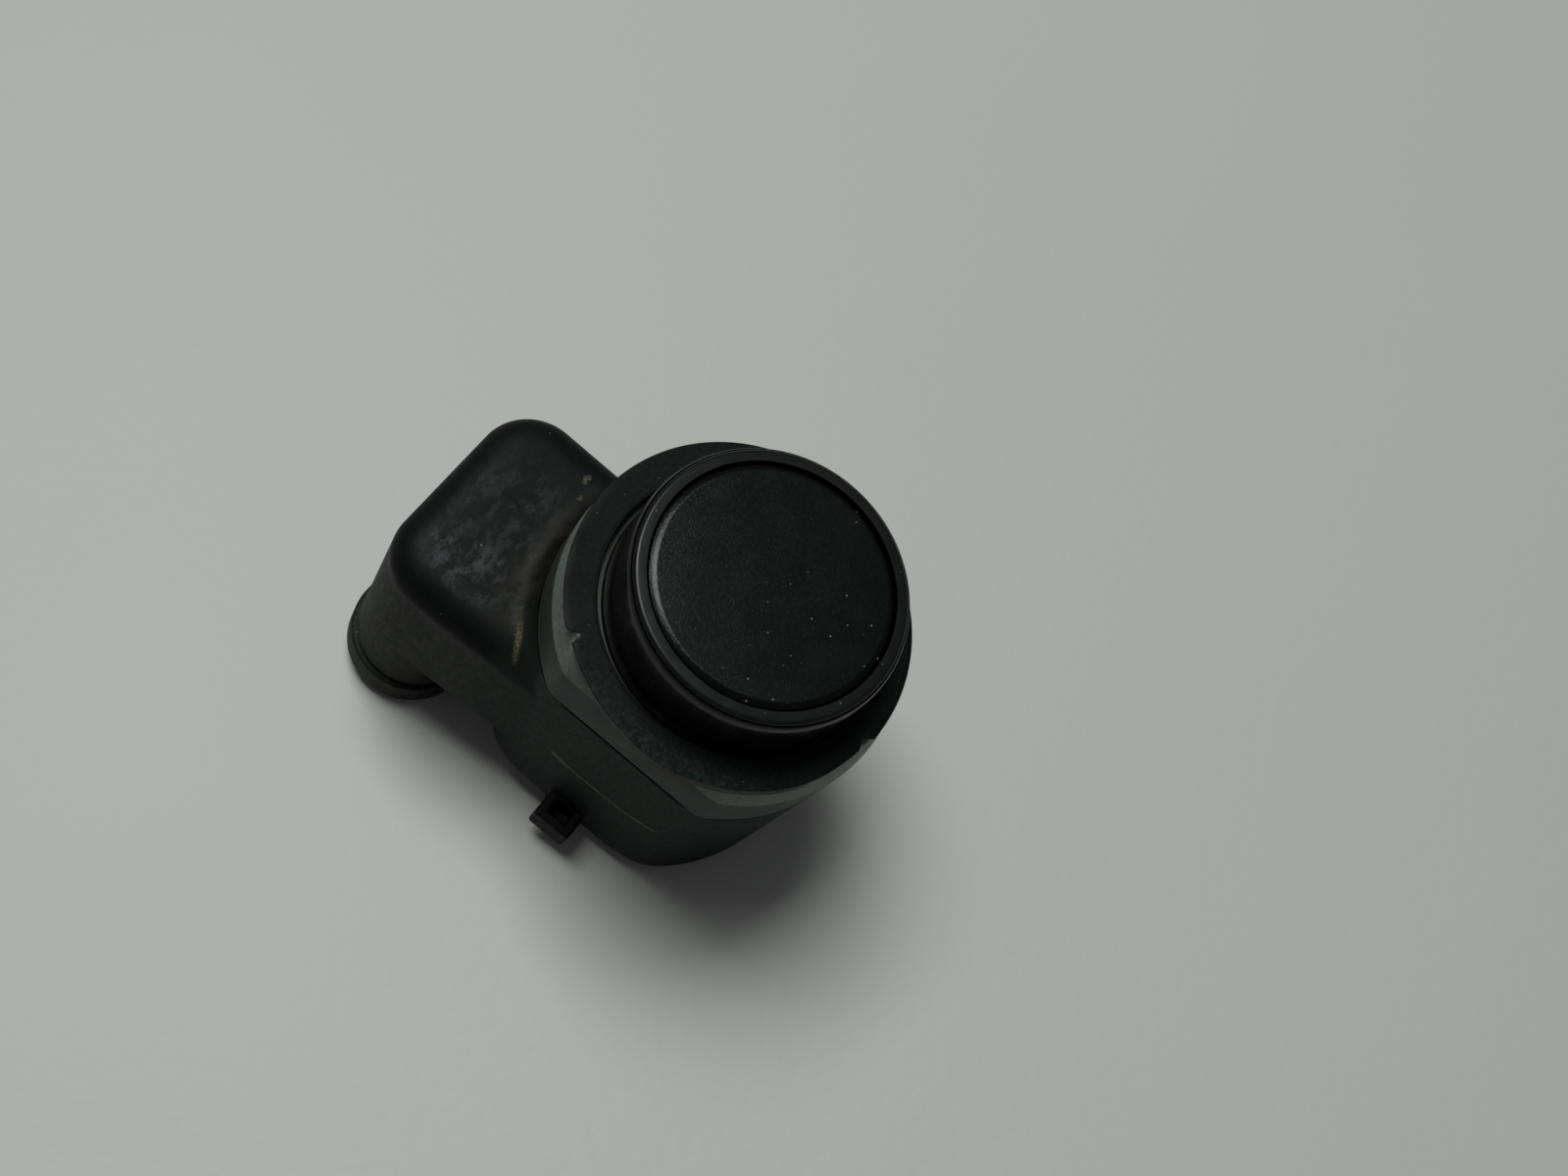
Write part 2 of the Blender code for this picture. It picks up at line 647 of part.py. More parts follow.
def make_front_cap():
    """Neck and collar are turned, an extrusion gives the collar its flats, the spigot is joined on."""
    profile = [
        (0.0, LIP_Z),
        (NECK_R - LIP_EDGE, LIP_Z),
        (NECK_R - 0.3 * LIP_EDGE, LIP_Z - 0.3 * LIP_EDGE),
        (NECK_R, LIP_Z - LIP_EDGE),
        (NECK_R, CAP_TOP_Z),
        (CAP_TOP_R, CAP_TOP_Z),
        (RIDGE_R, RIDGE_Z),
        (BODY_R, CAP_BACK_Z + SEAM_EDGE),
        (BODY_R - SEAM_EDGE, CAP_BACK_Z),
        (0.0, CAP_BACK_Z),
    ]
    cap = turned("front_cap", profile, PARTS, HEAD_SEGMENTS)
    flats = [
        (CAP_TOP_FLAT, LIP_Z + PAST),
        (CAP_TOP_FLAT, CAP_TOP_Z),
        (RIDGE_FLAT, RIDGE_Z),
        (BODY_FLAT, CAP_BACK_Z + SEAM_EDGE),
        (BODY_FLAT - SEAM_EDGE, CAP_BACK_Z),
        (BODY_FLAT - SEAM_EDGE, CAP_BACK_Z - PAST),
    ]
    sides = prism("cap_flats", mirrored(flats), -BODY_R - PAST, BODY_R + PAST, CUTTERS, True)
    combine(cap, sides, "INTERSECT")
    spigot = flatted_prism("spigot", SPIGOT_R, SPIGOT_FLAT, SPIGOT_BACK_Z, CAP_BACK_Z + LAP, CUTTERS)
    combine(cap, spigot, "UNION")
    bore = [
        (0.0, LIP_Z + PAST),
        (NECK_LIP_IN_R, LIP_Z + PAST),
        (NECK_LIP_IN_R, NECK_SHELF_Z),
        (NECK_BORE_R, NECK_SHELF_Z),
        (NECK_BORE_R, CAP_STEP_Z - LAP),
        (0.0, CAP_STEP_Z - LAP),
    ]
    combine(cap, turned("neck_bore", bore, CUTTERS, HEAD_SEGMENTS), "DIFFERENCE")
    back = flatted_prism("cap_bore", CAP_BORE_R, CAP_BORE_FLAT, SPIGOT_BACK_Z - PAST, CAP_STEP_Z, CUTTERS)
    combine(cap, back, "DIFFERENCE")


def disc_outline():
    """Two arcs of slightly different radius with a notch at each change."""
    outline = []

    def add(turn, radius):
        t = radians(turn)
        outline.append((DISC_OFF_X + radius * cos(t), DISC_OFF_Y + radius * sin(t)))

    def arc(start, stop, radius):
        count = round((stop - start) / DISC_ARC_STEP)
        for k in range(count + 1):
            add(start + (stop - start) * k / count, radius)

    arc(DISC_LARGE_TO - 360.0 + NOTCH_WIDE, DISC_LARGE_FROM - NOTCH_NARROW_WIDE, DISC_R_SMALL)
    add(DISC_LARGE_FROM - 0.74 * NOTCH_NARROW_WIDE, DISC_R_SMALL - 0.6 * NOTCH_SHALLOW)
    add(DISC_LARGE_FROM - 0.54 * NOTCH_NARROW_WIDE, DISC_R_SMALL - NOTCH_SHALLOW)
    add(DISC_LARGE_FROM - 0.15 * NOTCH_NARROW_WIDE, DISC_R_LARGE)
    arc(DISC_LARGE_FROM, DISC_LARGE_TO, DISC_R_LARGE)
    add(DISC_LARGE_TO + 0.41 * NOTCH_WIDE, DISC_R_SMALL - 0.8 * NOTCH_DEPTH)
    add(DISC_LARGE_TO + 0.60 * NOTCH_WIDE, DISC_R_SMALL - NOTCH_DEPTH)
    return outline


def make_seal_disc():
    disc = prism("seal_disc", disc_outline(), -DISC_THICK, 0.0, PARTS)
    hole = [
        (0.0, PAST),
        (DISC_HOLE_R + DISC_HOLE_EDGE, PAST),
        (DISC_HOLE_R + DISC_HOLE_EDGE, 0.0),
        (DISC_HOLE_R + 0.3 * DISC_HOLE_EDGE, -0.3 * DISC_HOLE_EDGE),
        (DISC_HOLE_R, -DISC_HOLE_EDGE),
        (DISC_HOLE_R, -DISC_THICK - PAST),
        (0.0, -DISC_THICK - PAST),
    ]
    cutter = turned("disc_hole", hole, CUTTERS, HEAD_SEGMENTS, (DISC_OFF_X, DISC_OFF_Y))
    soften(disc, DISC_EDGE, 1)
    combine(disc, cutter, "DIFFERENCE")


def make_decoupling_ring():
    profile = []
    for turn in quarter(2):
        profile.append((RING_IN_R + RING_EDGE * (1 - cos(turn)), FACE_Z - RING_EDGE * (1 - sin(turn))))
    for turn in quarter(2):
        profile.append((RING_OUT_R - RING_EDGE * (1 - sin(turn)), FACE_Z - RING_EDGE * (1 - cos(turn))))
    profile += [
        (RING_OUT_R, RING_STEP_Z),
        (RING_BODY_R, RING_STEP_Z),
        (RING_BODY_R, RING_BACK_Z),
        (RING_IN_R, RING_BACK_Z),
    ]
    turned("decoupling_ring", profile, PARTS, HEAD_SEGMENTS)


def make_transducer_cup():
    profile = [(0.0, CUP_FACE_Z)]
    for bend in quarter(6):
        radius = MEMBRANE_FLAT_R + MEMBRANE_ROUND * sin(bend)
        profile.append((radius, CUP_FACE_Z - MEMBRANE_ROUND * (1 - cos(bend))))
    profile += [
        (CUP_R, FLANGE_FRONT_Z),
        (CUP_FLANGE_R, FLANGE_FRONT_Z),
        (CUP_FLANGE_R, CUP_BACK_Z),
        (CUP_IN_R, CUP_BACK_Z),
        (CUP_IN_R, CUP_FLOOR_Z),
        (0.0, CUP_FLOOR_Z),
    ]
    turned("transducer_cup", profile, PARTS, HEAD_SEGMENTS)


def washer(name, inner, outer, low_z, high_z, segments=48, centre=(0.0, 0.0)):
    profile = [(inner, high_z), (outer, high_z), (outer, low_z), (inner, low_z)]
    turned(name, profile, PARTS, segments, centre)


def make_transducer_stack():
    cylinder("piezo_disc", PIEZO_R, PIEZO_BACK_Z, PIEZO_BACK_Z + PIEZO_THICK, PARTS)
    washer("damping_foam", FILL_WELL_R, FILL_R, FOAM_BACK_Z, FOAM_FRONT_Z)
    washer("cup_backfill", FILL_WELL_R, FILL_R, BACKFILL_BACK_Z, BACKFILL_FRONT_Z)
    half = PIN_SIZE / 2
    for letter, x in (("a", -LEAD_X), ("b", LEAD_X)):
        top = PIEZO_BACK_Z - LEAD_GAP
        low = TERMINAL_Z + LEAD_GAP
        bow = LEAD_BOW if x > 0 else -LEAD_BOW
        wire("piezo_lead_" + letter, [
            (x, 0.0, top),
            (x, 0.5 * bow, top - 0.25 * (top - low)),
            (x, bow, (top + low) / 2),
            (x, 0.5 * bow, low + 0.25 * (top - low)),
            (x, 0.0, low)], LEAD_R)
        box(
            "transducer_pin_" + letter, (x - half, -half, BOARD_UNDER_Z - PIN_PAST_BOARD),
            (x + half, half, TERMINAL_Z), PARTS)


def pin_outline():
    """Side view of a bent connector pin as (x, z): a stub, a run into the arm and a blade down the socket."""
    h = PIN_SIZE / 2
    top = BOARD_TOP_Z + PIN_STANDS
    return [
        (STUB_X - h, top),
        (STUB_X - h, PIN_RUN_Z + h),
        (TUBE_X - h, PIN_RUN_Z + h),
        (TUBE_X - h, PIN_TIP_Z + PIN_TIP_EDGE),
        (TUBE_X - h + PIN_TIP_EDGE, PIN_TIP_Z),
        (TUBE_X + h - PIN_TIP_EDGE, PIN_TIP_Z),
        (TUBE_X + h, PIN_TIP_Z + PIN_TIP_EDGE),
        (TUBE_X + h, PIN_RUN_Z - h),
        (STUB_X + h, PIN_RUN_Z - h),
        (STUB_X + h, top),
    ]


def make_connector_pins():
    for letter, y in zip("abc", pin_rows()):
        pin = prism("connector_pin_" + letter, pin_outline(), -PIN_SIZE / 2, PIN_SIZE / 2, PARTS)
        pin.rotation_euler = (radians(90.0), 0.0, 0.0)
        pin.location = (0.0, y * MM, 0.0)


def make_carrier_and_board():
    carrier = flatted_prism(
        "pin_carrier", CAP_BORE_R - CARRIER_SIDE_GAP, CAP_BORE_FLAT - CARRIER_SIDE_GAP,
        CARRIER_BACK_Z, CARRIER_FRONT_Z, PARTS)
    board = box("circuit_board", (-BOARD_X, -BOARD_Y, BOARD_UNDER_Z), (BOARD_X, BOARD_Y, BOARD_TOP_Z), PARTS)
    for letter, x in (("a", -LEAD_X), ("b", LEAD_X)):
        hole = pin_hole("lead_hole_" + letter, x, 0.0, BOARD_UNDER_Z - PAST, CARRIER_FRONT_Z + PAST)
        combine(carrier, hole, "DIFFERENCE")
        combine(board, hole, "DIFFERENCE")
    for letter, y in zip("abc", pin_rows()):
        hole = pin_hole("board_hole_" + letter, STUB_X, y, BOARD_UNDER_Z - PAST, BOARD_TOP_Z + PAST)
        combine(board, hole, "DIFFERENCE")


def make_board_parts():
    chip_z = BOARD_TOP_Z + PART_GAP
    box(
        "control_chip", (CHIP_X_LOW, -CHIP_WIDE / 2, chip_z),
        (CHIP_X_HIGH, CHIP_WIDE / 2, chip_z + CHIP_THICK), PARTS)
    middle = ((CORE_X_LOW + CORE_X_HIGH) / 2, 0.0)
    side = CORE_WIDE / 2
    low = HANG_Z - CORE_TALL
    core = box("transformer_core", (CORE_X_LOW, -side, low), (CORE_X_HIGH, side, HANG_Z), PARTS)
    window = box(
        "core_window", (CORE_X_LOW - PAST, CORE_LEG - side, low + CORE_PLATE),
        (CORE_X_HIGH + PAST, side - CORE_LEG, HANG_Z - CORE_PLATE), CUTTERS)
    combine(core, window, "DIFFERENCE")
    post = cylinder(
        "core_post", CORE_POST_R, low + CORE_PLATE - LAP, HANG_Z - CORE_PLATE + LAP, CUTTERS, 24, middle)
    combine(core, post, "UNION")
    inner = CORE_POST_R + WINDING_GAP
    washer(
        "transformer_winding", inner, inner + WINDING_THICK,
        low + CORE_PLATE + WINDING_GAP, HANG_Z - CORE_PLATE - WINDING_GAP, 32, middle)
    cylinder("capacitor_a", CAN_R, HANG_Z - CAN_TALL, HANG_Z, PARTS, 28, (CAN_X, CAN_Y))
    cylinder("capacitor_b", CAN_R, HANG_Z - CAN_TALL, HANG_Z, PARTS, 28, (CAN_X, -CAN_Y))


def make_potting():
    flatted_prism(
        "rear_potting", BORE_R - POTTING_GAP, BORE_FLAT - POTTING_GAP, POTTING_BACK_Z, POTTING_FRONT_Z, PARTS)


LOOKS = {
    "housing": ((0.030, 0.033, 0.032), 0.50, 0.0),
    "front_cap": ((0.045, 0.050, 0.048), 0.45, 0.0),
    "seal_disc": ((0.026, 0.029, 0.034), 0.60, 0.0),
    "decoupling_ring": ((0.020, 0.022, 0.023), 0.60, 0.0),
    "transducer_cup": ((0.012, 0.014, 0.017), 0.50, 0.0),
    "piezo_disc": ((0.75, 0.70, 0.55), 0.50, 0.0),
    "piezo_lead_a": ((0.70, 0.30, 0.15), 0.35, 1.0),
    "piezo_lead_b": ((0.70, 0.30, 0.15), 0.35, 1.0),
    "damping_foam": ((0.10, 0.10, 0.10), 0.90, 0.0),
    "cup_backfill": ((0.55, 0.55, 0.52), 0.60, 0.0),
    "pin_carrier": ((0.04, 0.04, 0.04), 0.50, 0.0),
    "transducer_pin_a": ((0.72, 0.66, 0.50), 0.30, 1.0),
    "transducer_pin_b": ((0.72, 0.66, 0.50), 0.30, 1.0),
    "circuit_board": ((0.02, 0.16, 0.07), 0.45, 0.0),
    "control_chip": ((0.02, 0.02, 0.02), 0.50, 0.0),
    "transformer_core": ((0.06, 0.06, 0.06), 0.60, 0.0),
    "transformer_winding": ((0.60, 0.22, 0.08), 0.35, 1.0),
    "capacitor_a": ((0.35, 0.25, 0.12), 0.45, 0.0),
    "capacitor_b": ((0.35, 0.25, 0.12), 0.45, 0.0),
    "connector_pin_a": ((0.75, 0.72, 0.66), 0.28, 1.0),
    "connector_pin_b": ((0.75, 0.72, 0.66), 0.28, 1.0),
    "connector_pin_c": ((0.75, 0.72, 0.66), 0.28, 1.0),
    "rear_potting": ((0.03, 0.03, 0.03), 0.35, 0.0),
}


clear_scene()
PARTS = new_collection("parking_sensor")
CUTTERS = new_collection("cutters")
ROOT = new_root("sensor_root", PARTS)
make_housing()
make_front_cap()
make_seal_disc()
make_decoupling_ring()
make_transducer_cup()
make_transducer_stack()
make_connector_pins()
make_carrier_and_board()
make_board_parts()
make_potting()
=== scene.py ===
"""Looks of a flush ultrasonic parking sensor: worn black plastics on a plain pale table.

The head, disc and cap are turned from fine profiles. The housing is a smooth blend of its
forms, meshed from a distance field, so its coves and soft edges come out as moulded ones.
Coordinates in this file are millimetres in the part's frame and become metres in make_mesh.
"""

from math import cos, pi, radians, sin

import bpy
import numpy as np
from mathutils import Matrix, Vector


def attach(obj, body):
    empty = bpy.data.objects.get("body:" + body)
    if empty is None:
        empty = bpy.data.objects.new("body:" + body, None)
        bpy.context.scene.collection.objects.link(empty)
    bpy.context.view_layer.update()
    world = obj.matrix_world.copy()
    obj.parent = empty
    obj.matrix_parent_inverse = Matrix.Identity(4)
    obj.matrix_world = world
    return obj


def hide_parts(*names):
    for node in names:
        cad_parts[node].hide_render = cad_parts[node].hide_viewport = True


MM = 0.001

# Head
FACE_Z = 5.40
LIP_Z = 5.10
NECK_R = 9.00
NECK_FOOT = 0.10
LIP_IN_R = 8.79
LIP_ROUND = 0.85
LIP_LAND = 0.03
LIP_EDGE = 0.04
LIP_STEPS = 7
SHELF_Z = 4.15
NECK_BORE_R = 8.46
RING_OUT_R = 8.75
RING_EDGE = 0.32
RING_EDGE_STEPS = 8
RING_BODY_R = 8.33
RING_IN_R = 7.92
RING_IN_EDGE = 0.02
RING_STEP_Z = 4.30
RING_BACK_Z = -1.20
HEAD_SEGMENTS = 224

# Transducer cup; the shoulder is given as (share of its width, share of its drop)
CUP_R = 7.82
CUP_FACE_Z = 5.37
CUP_FLANGE_R = 8.30
CUP_FLANGE_Z = -1.35
CUP_BACK_Z = -2.00
CUP_IN_R = 6.77
CUP_FLOOR_Z = 4.57
AXIS_R = 0.02
FACE_MIDDLE = 0.5
FACE_LAND = 0.10
SHOULDER_DROP = 0.17
SHOULDER = 0.46
SHOULDER_CURVE = ((0.0, 0.03125), (0.10, 0.125), (0.35, 0.359375), (0.60, 0.640625), (0.85, 1.0))
CUP_EDGE = 0.03
CUP_EDGE_DROPS = (0.10, 0.22)

# Cap collar, from its top to the seam
CAP_TOP_Z = -0.85
CAP_TOP_R = 11.13
CAP_TOP_FLAT = 9.42
RIDGE_Z = -2.70
RIDGE_R = 11.71
RIDGE_FLAT = 10.00
CAP_BACK_Z = -6.50
BODY_R = 11.73
BODY_FLAT = 10.06
SPIGOT_R = 9.85
SPIGOT_FLAT = 8.18
SPIGOT_BACK_Z = -8.00
CAP_BORE_R = 9.16
CAP_BORE_FLAT = 7.49
CAP_STEP_Z = -2.60
NO_FLAT = 60.0

# Soft edges of the cap, as (inward, upward) steps from each corner
SEAM_EDGE = ((0.12, 0.0), (0.05, 0.03), (0.0, 0.12))
RIDGE_EDGE = ((0.0, -0.14), (0.012, -0.03), (0.04, 0.08))
TOP_EDGE = ((-0.05, -0.12), (0.0, -0.03), (0.08, 0.0))

# Where a round wall meets a flat, in degrees, how sharply, and the steps round it
FLAT_CORNER = 59.0
FLAT_POWER = 90
TURN_STEP = 1.5
CORNER_STEP = 0.3
CORNER_STEPS = 10
CLOSEST_STEP = 0.2

# Key in the disc's left notch, as (angle, radius, z)
KEY = (
    (228.90, 10.95, -0.07), (232.60, 10.95, -0.07), (230.9, 10.64, -0.07),
    (228.90, 11.17, -0.90), (232.60, 11.17, -0.90), (230.9, 10.64, -0.95))

# Seal disc; its notches are (angle, radius), its profiles (inset or outset, z)
DISC_R_LARGE = 11.41
DISC_R_SMALL = 11.25
DISC_HOLE_R = 9.26
DISC_THICK = 0.75
DISC_OFF = (-0.175, -0.116)
DISC_SMALL_TURNS = (-127, -11)
DISC_LARGE_TURNS = (-3, 228)
DISC_SAG = 0.18
DISC_FLARE = 0.10
DISC_SAG_FROM = -105.0
DISC_SAG_TO = -11.0
DISC_SAG_FADE = 26.0
DISC_RIGHT_NOTCH = (
    (-10.3, 11.20), (-9.6, 11.12), (-9.0, 11.07), (-8.2, 10.97), (-7.6, 10.88), (-7.2, 10.85),
    (-6.5, 10.98), (-5.8, 11.10), (-5.0, 11.27), (-4.4, 11.38), (-4.0, DISC_R_LARGE))
DISC_LEFT_NOTCH = (
    (228.7, 11.30), (229.2, 11.12), (229.8, 10.90), (230.5, 10.66), (230.9, 10.56),
    (231.5, 10.70), (232.2, 10.90), (232.8, 11.10))
DISC_WALL = (
    (0.30, -DISC_THICK), (0.22, -0.42), (0.04, -0.13), (0.0, -0.07),
    (0.008, -0.035), (0.03, -0.01), (0.07, 0.0), (0.5, 0.0))
DISC_BORE = ((0.4, 0.0), (0.16, 0.0), (0.08, -0.02), (0.025, -0.07), (0.0, -0.15), (0.0, -DISC_THICK))

# Barrel
BARREL_FRONT_Z = -6.60
BARREL_BACK_Z = -23.05
BARREL_CORNER = 0.90
BARREL_EDGE = 0.16
DRAFT = 0.13
BACK_ROUND_IN = 1.10
BACK_ROUND_LONG = 1.30
BACK_ROUND_FLAT = 0.35
BORE_R = 10.01
BORE_FLAT = 8.34
INNER_ROUND = 0.20

# Arm; its front wall bends inwards toward the barrel
ARM_END_X = -20.40
ARM_INNER_X = -5.00
ARM_FRONT_Z = -8.10
ARM_BACK_Z = -18.30
ARM_Y_FRONT = -9.93
ARM_Y_BACK = -10.30
ARM_Y_HIGH = 6.25
ARM_BEND = 0.55
ARM_BEND_X = -14.00
ARM_BEND_LONG = 9.00
ARM_BEND_POWER = 1.6
ARM_CORNER_R = 3.85
ARM_CORNER_GROWTH = 0.25
ARM_ROUND_IN = 2.60
ARM_ROUND_DOWN = 2.00
COVE_SMALL = 0.18
COVE_MORE = 1.75
COVE_END_Y = 9.70
COVE_FADE = 1.60
ROOM_LOW = (-19.1, -8.1, -15.2)
ROOM_HIGH = (-4.0, 4.4, -9.9)

# Connector tube, its rim and its socket
TUBE_X = -16.30
TUBE_Y = (-6.20, 2.15)
TUBE_R = 4.10
TUBE_FLARE = 0.07
TUBE_BACK_Z = -26.80
TUBE_INTO_ARM = 0.40
TUBE_INTO_RIM = 0.50
TUBE_RIM_R = 4.50
TUBE_LIP_Z = -23.80
RIM_SET_BACK = 0.22
RIM_ROUND = 0.28
GROOVE_LONG = 0.32
GROOVE_DEEP = 0.12
GROOVE_ROUND = 0.10
SOCKET_R = 3.15
SOCKET_FLOOR_Z = -16.20
SOCKET_EDGE = 0.15
MOUTH_LONG = 0.35
MOUTH_WIDEST = 0.80
PIN_Y = (-5.325, -2.025, 1.275)
PIN_HOLE = 0.44
PIN_HOLE_TOP_Z = -12.00

# Locking tabs
TAB_X = (-1.60, 1.35)
TAB_Y = (9.13, 11.98)
TAB_Z = (-23.00, -20.60)
TAB_ROUND = 0.20
TAB_COVE = 0.35
POCKET_WALL = 0.70
POCKET_Y = 10.30
POCKET_Z = -22.10
POCKET_OPEN = 1.50
POCKET_ROUND = 0.10
POCKET_EDGE = 0.15

# Housing mesh: grid step, share of triangles kept, pulls onto the surface
NET_STEP = 0.17
NET_KEEP = 0.42
NET_PULLS = 3
SLOPE_STEP = 0.02
SLOPE_LEAST = 0.25
NET_MARGIN = 0.10
NET_MARGIN_END = 0.20

# Table: the sensor lies on its tube rim and the barrel's back edge
FLOOR_TILT = 9.5
FLOOR_POINT = (-11.8, 0.0, -26.80)
FLOOR_HALF = 900.0
FLOOR_STEPS = 12

# Light
WORLD_COLOUR = (0.97, 0.99, 1.0, 1.0)
WORLD_STRENGTH = 0.10
LAMP_FROM = (-0.42, 0.12, 0.90)
LAMP_DISTANCE = 0.60
LAMP_SIZE = 0.28
LAMP_POWER = 2.9
LAMP_COLOUR = (0.99, 1.0, 0.98)

# Camera, found by fitting the photo's circles and edges
CAMERA_LENS = 44.62
CAMERA_SENSOR = 36.0
CAMERA_CLIP = (0.005, 20.0)
CAMERA_TO_PART = (
    (0.75989, 0.55759, 0.33416),
    (-0.64811, 0.68953, 0.32326),
    (-0.05017, -0.46221, 0.88535),
)
CAMERA_SHIFT = (-0.536, 0.273, -116.012)
CAMERA_ZERO_Z = 5.40

# Directions of the part's frame
UP = (0.0, 0.0, 1.0)
DOWN = (0.0, 0.0, -1.0)
FRONT = (0.0, -1.0, 0.0)

# Colours, as linear red, green and blue
BLACK = (0.0008, 0.0008, 0.0008)
PLASTIC_TINT = (0.93, 1.0, 0.95, 1.0)
MEMBRANE_DARK = (0.0024, 0.0040, 0.0038)
MEMBRANE_LIGHT = (0.0046, 0.0066, 0.0062)
# Painted shade: the membrane's steep shoulder is painted near black
MEMBRANE_SHOULDER_SHADE = (0.0008, 0.0008, 0.0007)
MEMBRANE_DUST = (0.20, 0.20, 0.19)
MEMBRANE_CRUMBS = (0.36, 0.35, 0.32)
RING_DARK = (0.0042, 0.0050, 0.0048)
RING_LIGHT = (0.0070, 0.0080, 0.0076)
RING_DUST = (0.30, 0.29, 0.27)
DISC_DARK = (0.0008, 0.0013, 0.0013)
DISC_LIGHT = (0.0044, 0.0062, 0.0062)
DISC_HAZE = (0.022, 0.028, 0.030)
DISC_DUST = (0.050, 0.060, 0.062)
DISC_SPECKS = (0.30, 0.30, 0.28)
# Painted highlight, partly wear: a lighter brownish line along the hole's top edge
DISC_BORE_WEAR_HIGHLIGHT = (0.021, 0.017, 0.015)
DISC_WALL_BROWN = (0.042, 0.040, 0.033)
NECK_DARK = (0.0026, 0.0027, 0.0026)
NECK_LIGHT = (0.0044, 0.0044, 0.0042)
# Painted reflection: brownish streaks on the glossy neck's left side
NECK_REFLECTION_STREAK = (0.020, 0.014, 0.009)
BAND_DARK = (0.0190, 0.0265, 0.0220)
BAND_LIGHT = (0.0335, 0.0430, 0.0360)
# Painted shade on the collar band where it faces front, on the cap's flats
BAND_SHADE_ON_FLAT = (0.0095, 0.0150, 0.0125)
# Chamfer and collar top: painted paler where they face up, partly painted light
CHAMFER_DARK = (0.080, 0.098, 0.086)
CHAMFER_LIGHT = (0.132, 0.152, 0.134)
CHAMFER_RIGHT = (0.250, 0.262, 0.232)
COLLAR_TOP = (0.115, 0.132, 0.118)
# Painted highlight along the collar's top edge by the disc
COLLAR_RIM_HIGHLIGHT = (0.21, 0.24, 0.21)
COLLAR_DIRT = (0.018, 0.022, 0.021)
COLLAR_PITS = (0.004, 0.006, 0.006)
COLLAR_WORN = (0.070, 0.082, 0.070)
CAP_DUST = (0.26, 0.26, 0.24)
BARREL_DARK = (0.0040, 0.0070, 0.0056)
BARREL_LIGHT = (0.0092, 0.0142, 0.0112)
# The next two are painted shade: the barrel darker towards its back and towards its right
BARREL_LOWER_SHADE = (0.0038, 0.0052, 0.0046)
BARREL_RIGHT_SHADE = (0.0060, 0.0078, 0.0072)
BARREL_FINE = (0.0175, 0.0250, 0.0205)
ARM_SIDE_DARK = (0.0050, 0.0064, 0.0052)
ARM_SIDE_LIGHT = (0.0135, 0.0158, 0.0130)
ARM_SIDE_HATCH = (0.030, 0.034, 0.029)
ARM_TOP_DARK = (0.0026, 0.0030, 0.0030)
ARM_TOP_LIGHT = (0.0048, 0.0052, 0.0052)
# Scuffs with a painted sheen on the arm's crown
ARM_SCUFF_AND_SHEEN = (0.0400, 0.0500, 0.0510)
ARM_HAZE = (0.0070, 0.0090, 0.0088)
ARM_COVE_DIRT = (0.0125, 0.0108, 0.0075)
ARM_GOUGE = (0.0012, 0.0014, 0.0014)
ARM_PALE_MARK = (0.085, 0.085, 0.064)
# Painted highlight, partly wear: a yellowish glint along the cove's edge
ARM_GLINT_AND_WEAR = (0.170, 0.155, 0.080)
FLAT_SCRATCH = (0.100, 0.115, 0.074)
FLAT_NICK = (0.070, 0.080, 0.055)
TAB_SHADE = (0.0010, 0.0010, 0.0009)
TAB_CRUMBS = (0.080, 0.066, 0.045)
HOUSING_DUST = (0.30, 0.30, 0.27)
TABLE_DARK = (0.482, 0.494, 0.476)
TABLE_LIGHT = (0.502, 0.514, 0.496)

# Places of the wear, and of the painted sheen, glint and shade: masks as (centre, radii), lines as points
# in (x, y) or (x, z)
SCUFF_AND_SHEEN_FIELD = ((-15.6, -2.2, -8.2), (4.2, 6.0, 4.0))
SCUFF_AND_SHEEN_CORNER = ((-15.2, -6.2, -8.2), (4.2, 2.6, 4.0))
COVE_DIRT = ((-11.2, -2.6, -8.0), (2.8, 6.5, 2.8))
PALE_MARKS = (((-13.4, 3.8, -8.2), (0.34, 0.55, 1.0)), ((-12.9, 2.4, -8.2), (0.20, 0.34, 1.0)))
TAB_ALL = ((-0.1, -11.2, -21.8), (2.6, 2.4, 2.4))
TAB_INSIDE = ((0.4, -10.6, -21.4), (2.6, 1.9, 2.0))
GOUGE_XY = ((-16.8, -0.9), (-15.9, -0.8), (-15.0, -1.1))
# Painted glint, partly wear, along the cove's outer edge
GLINT_AND_WEAR_XY = ((-10.55, -6.7), (-10.1, -7.5), (-9.55, -8.35), (-9.0, -9.1))
SCRATCH_XZ = ((-3.3, -14.70), (-1.0, -14.90), (2.3, -14.70), (5.0, -13.90))
NICK_XZ = ((-3.3, -14.55), (-2.2, -14.95))


def make_mesh(name, points, faces, sharp=35.0):
    mesh = bpy.data.meshes.new(name)
    mesh.from_pydata([tuple(c * MM for c in p) for p in points], [], faces)
    mesh.validate()
    mesh.polygons.foreach_set("use_smooth", [True] * len(mesh.polygons))
    if sharp:
        mesh.set_sharp_from_angle(angle=radians(sharp))
    piece = bpy.data.objects.new(name, mesh)
    bpy.context.scene.collection.objects.link(piece)
    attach(piece, "root")
    return piece


def skin(rings, closed):
    """Quads between outlines of equal count; closed joins the last outline to the first."""
    count = len(rings[0])
    points = [p for ring in rings for p in ring]
    faces = []
    total = len(rings)
    for k in range(total if closed else total - 1):
        a = k * count
        b = ((k + 1) % total) * count
        for i in range(count):
            j = (i + 1) % count
            faces.append((a + i, a + j, b + j, b + i))
    return points, faces


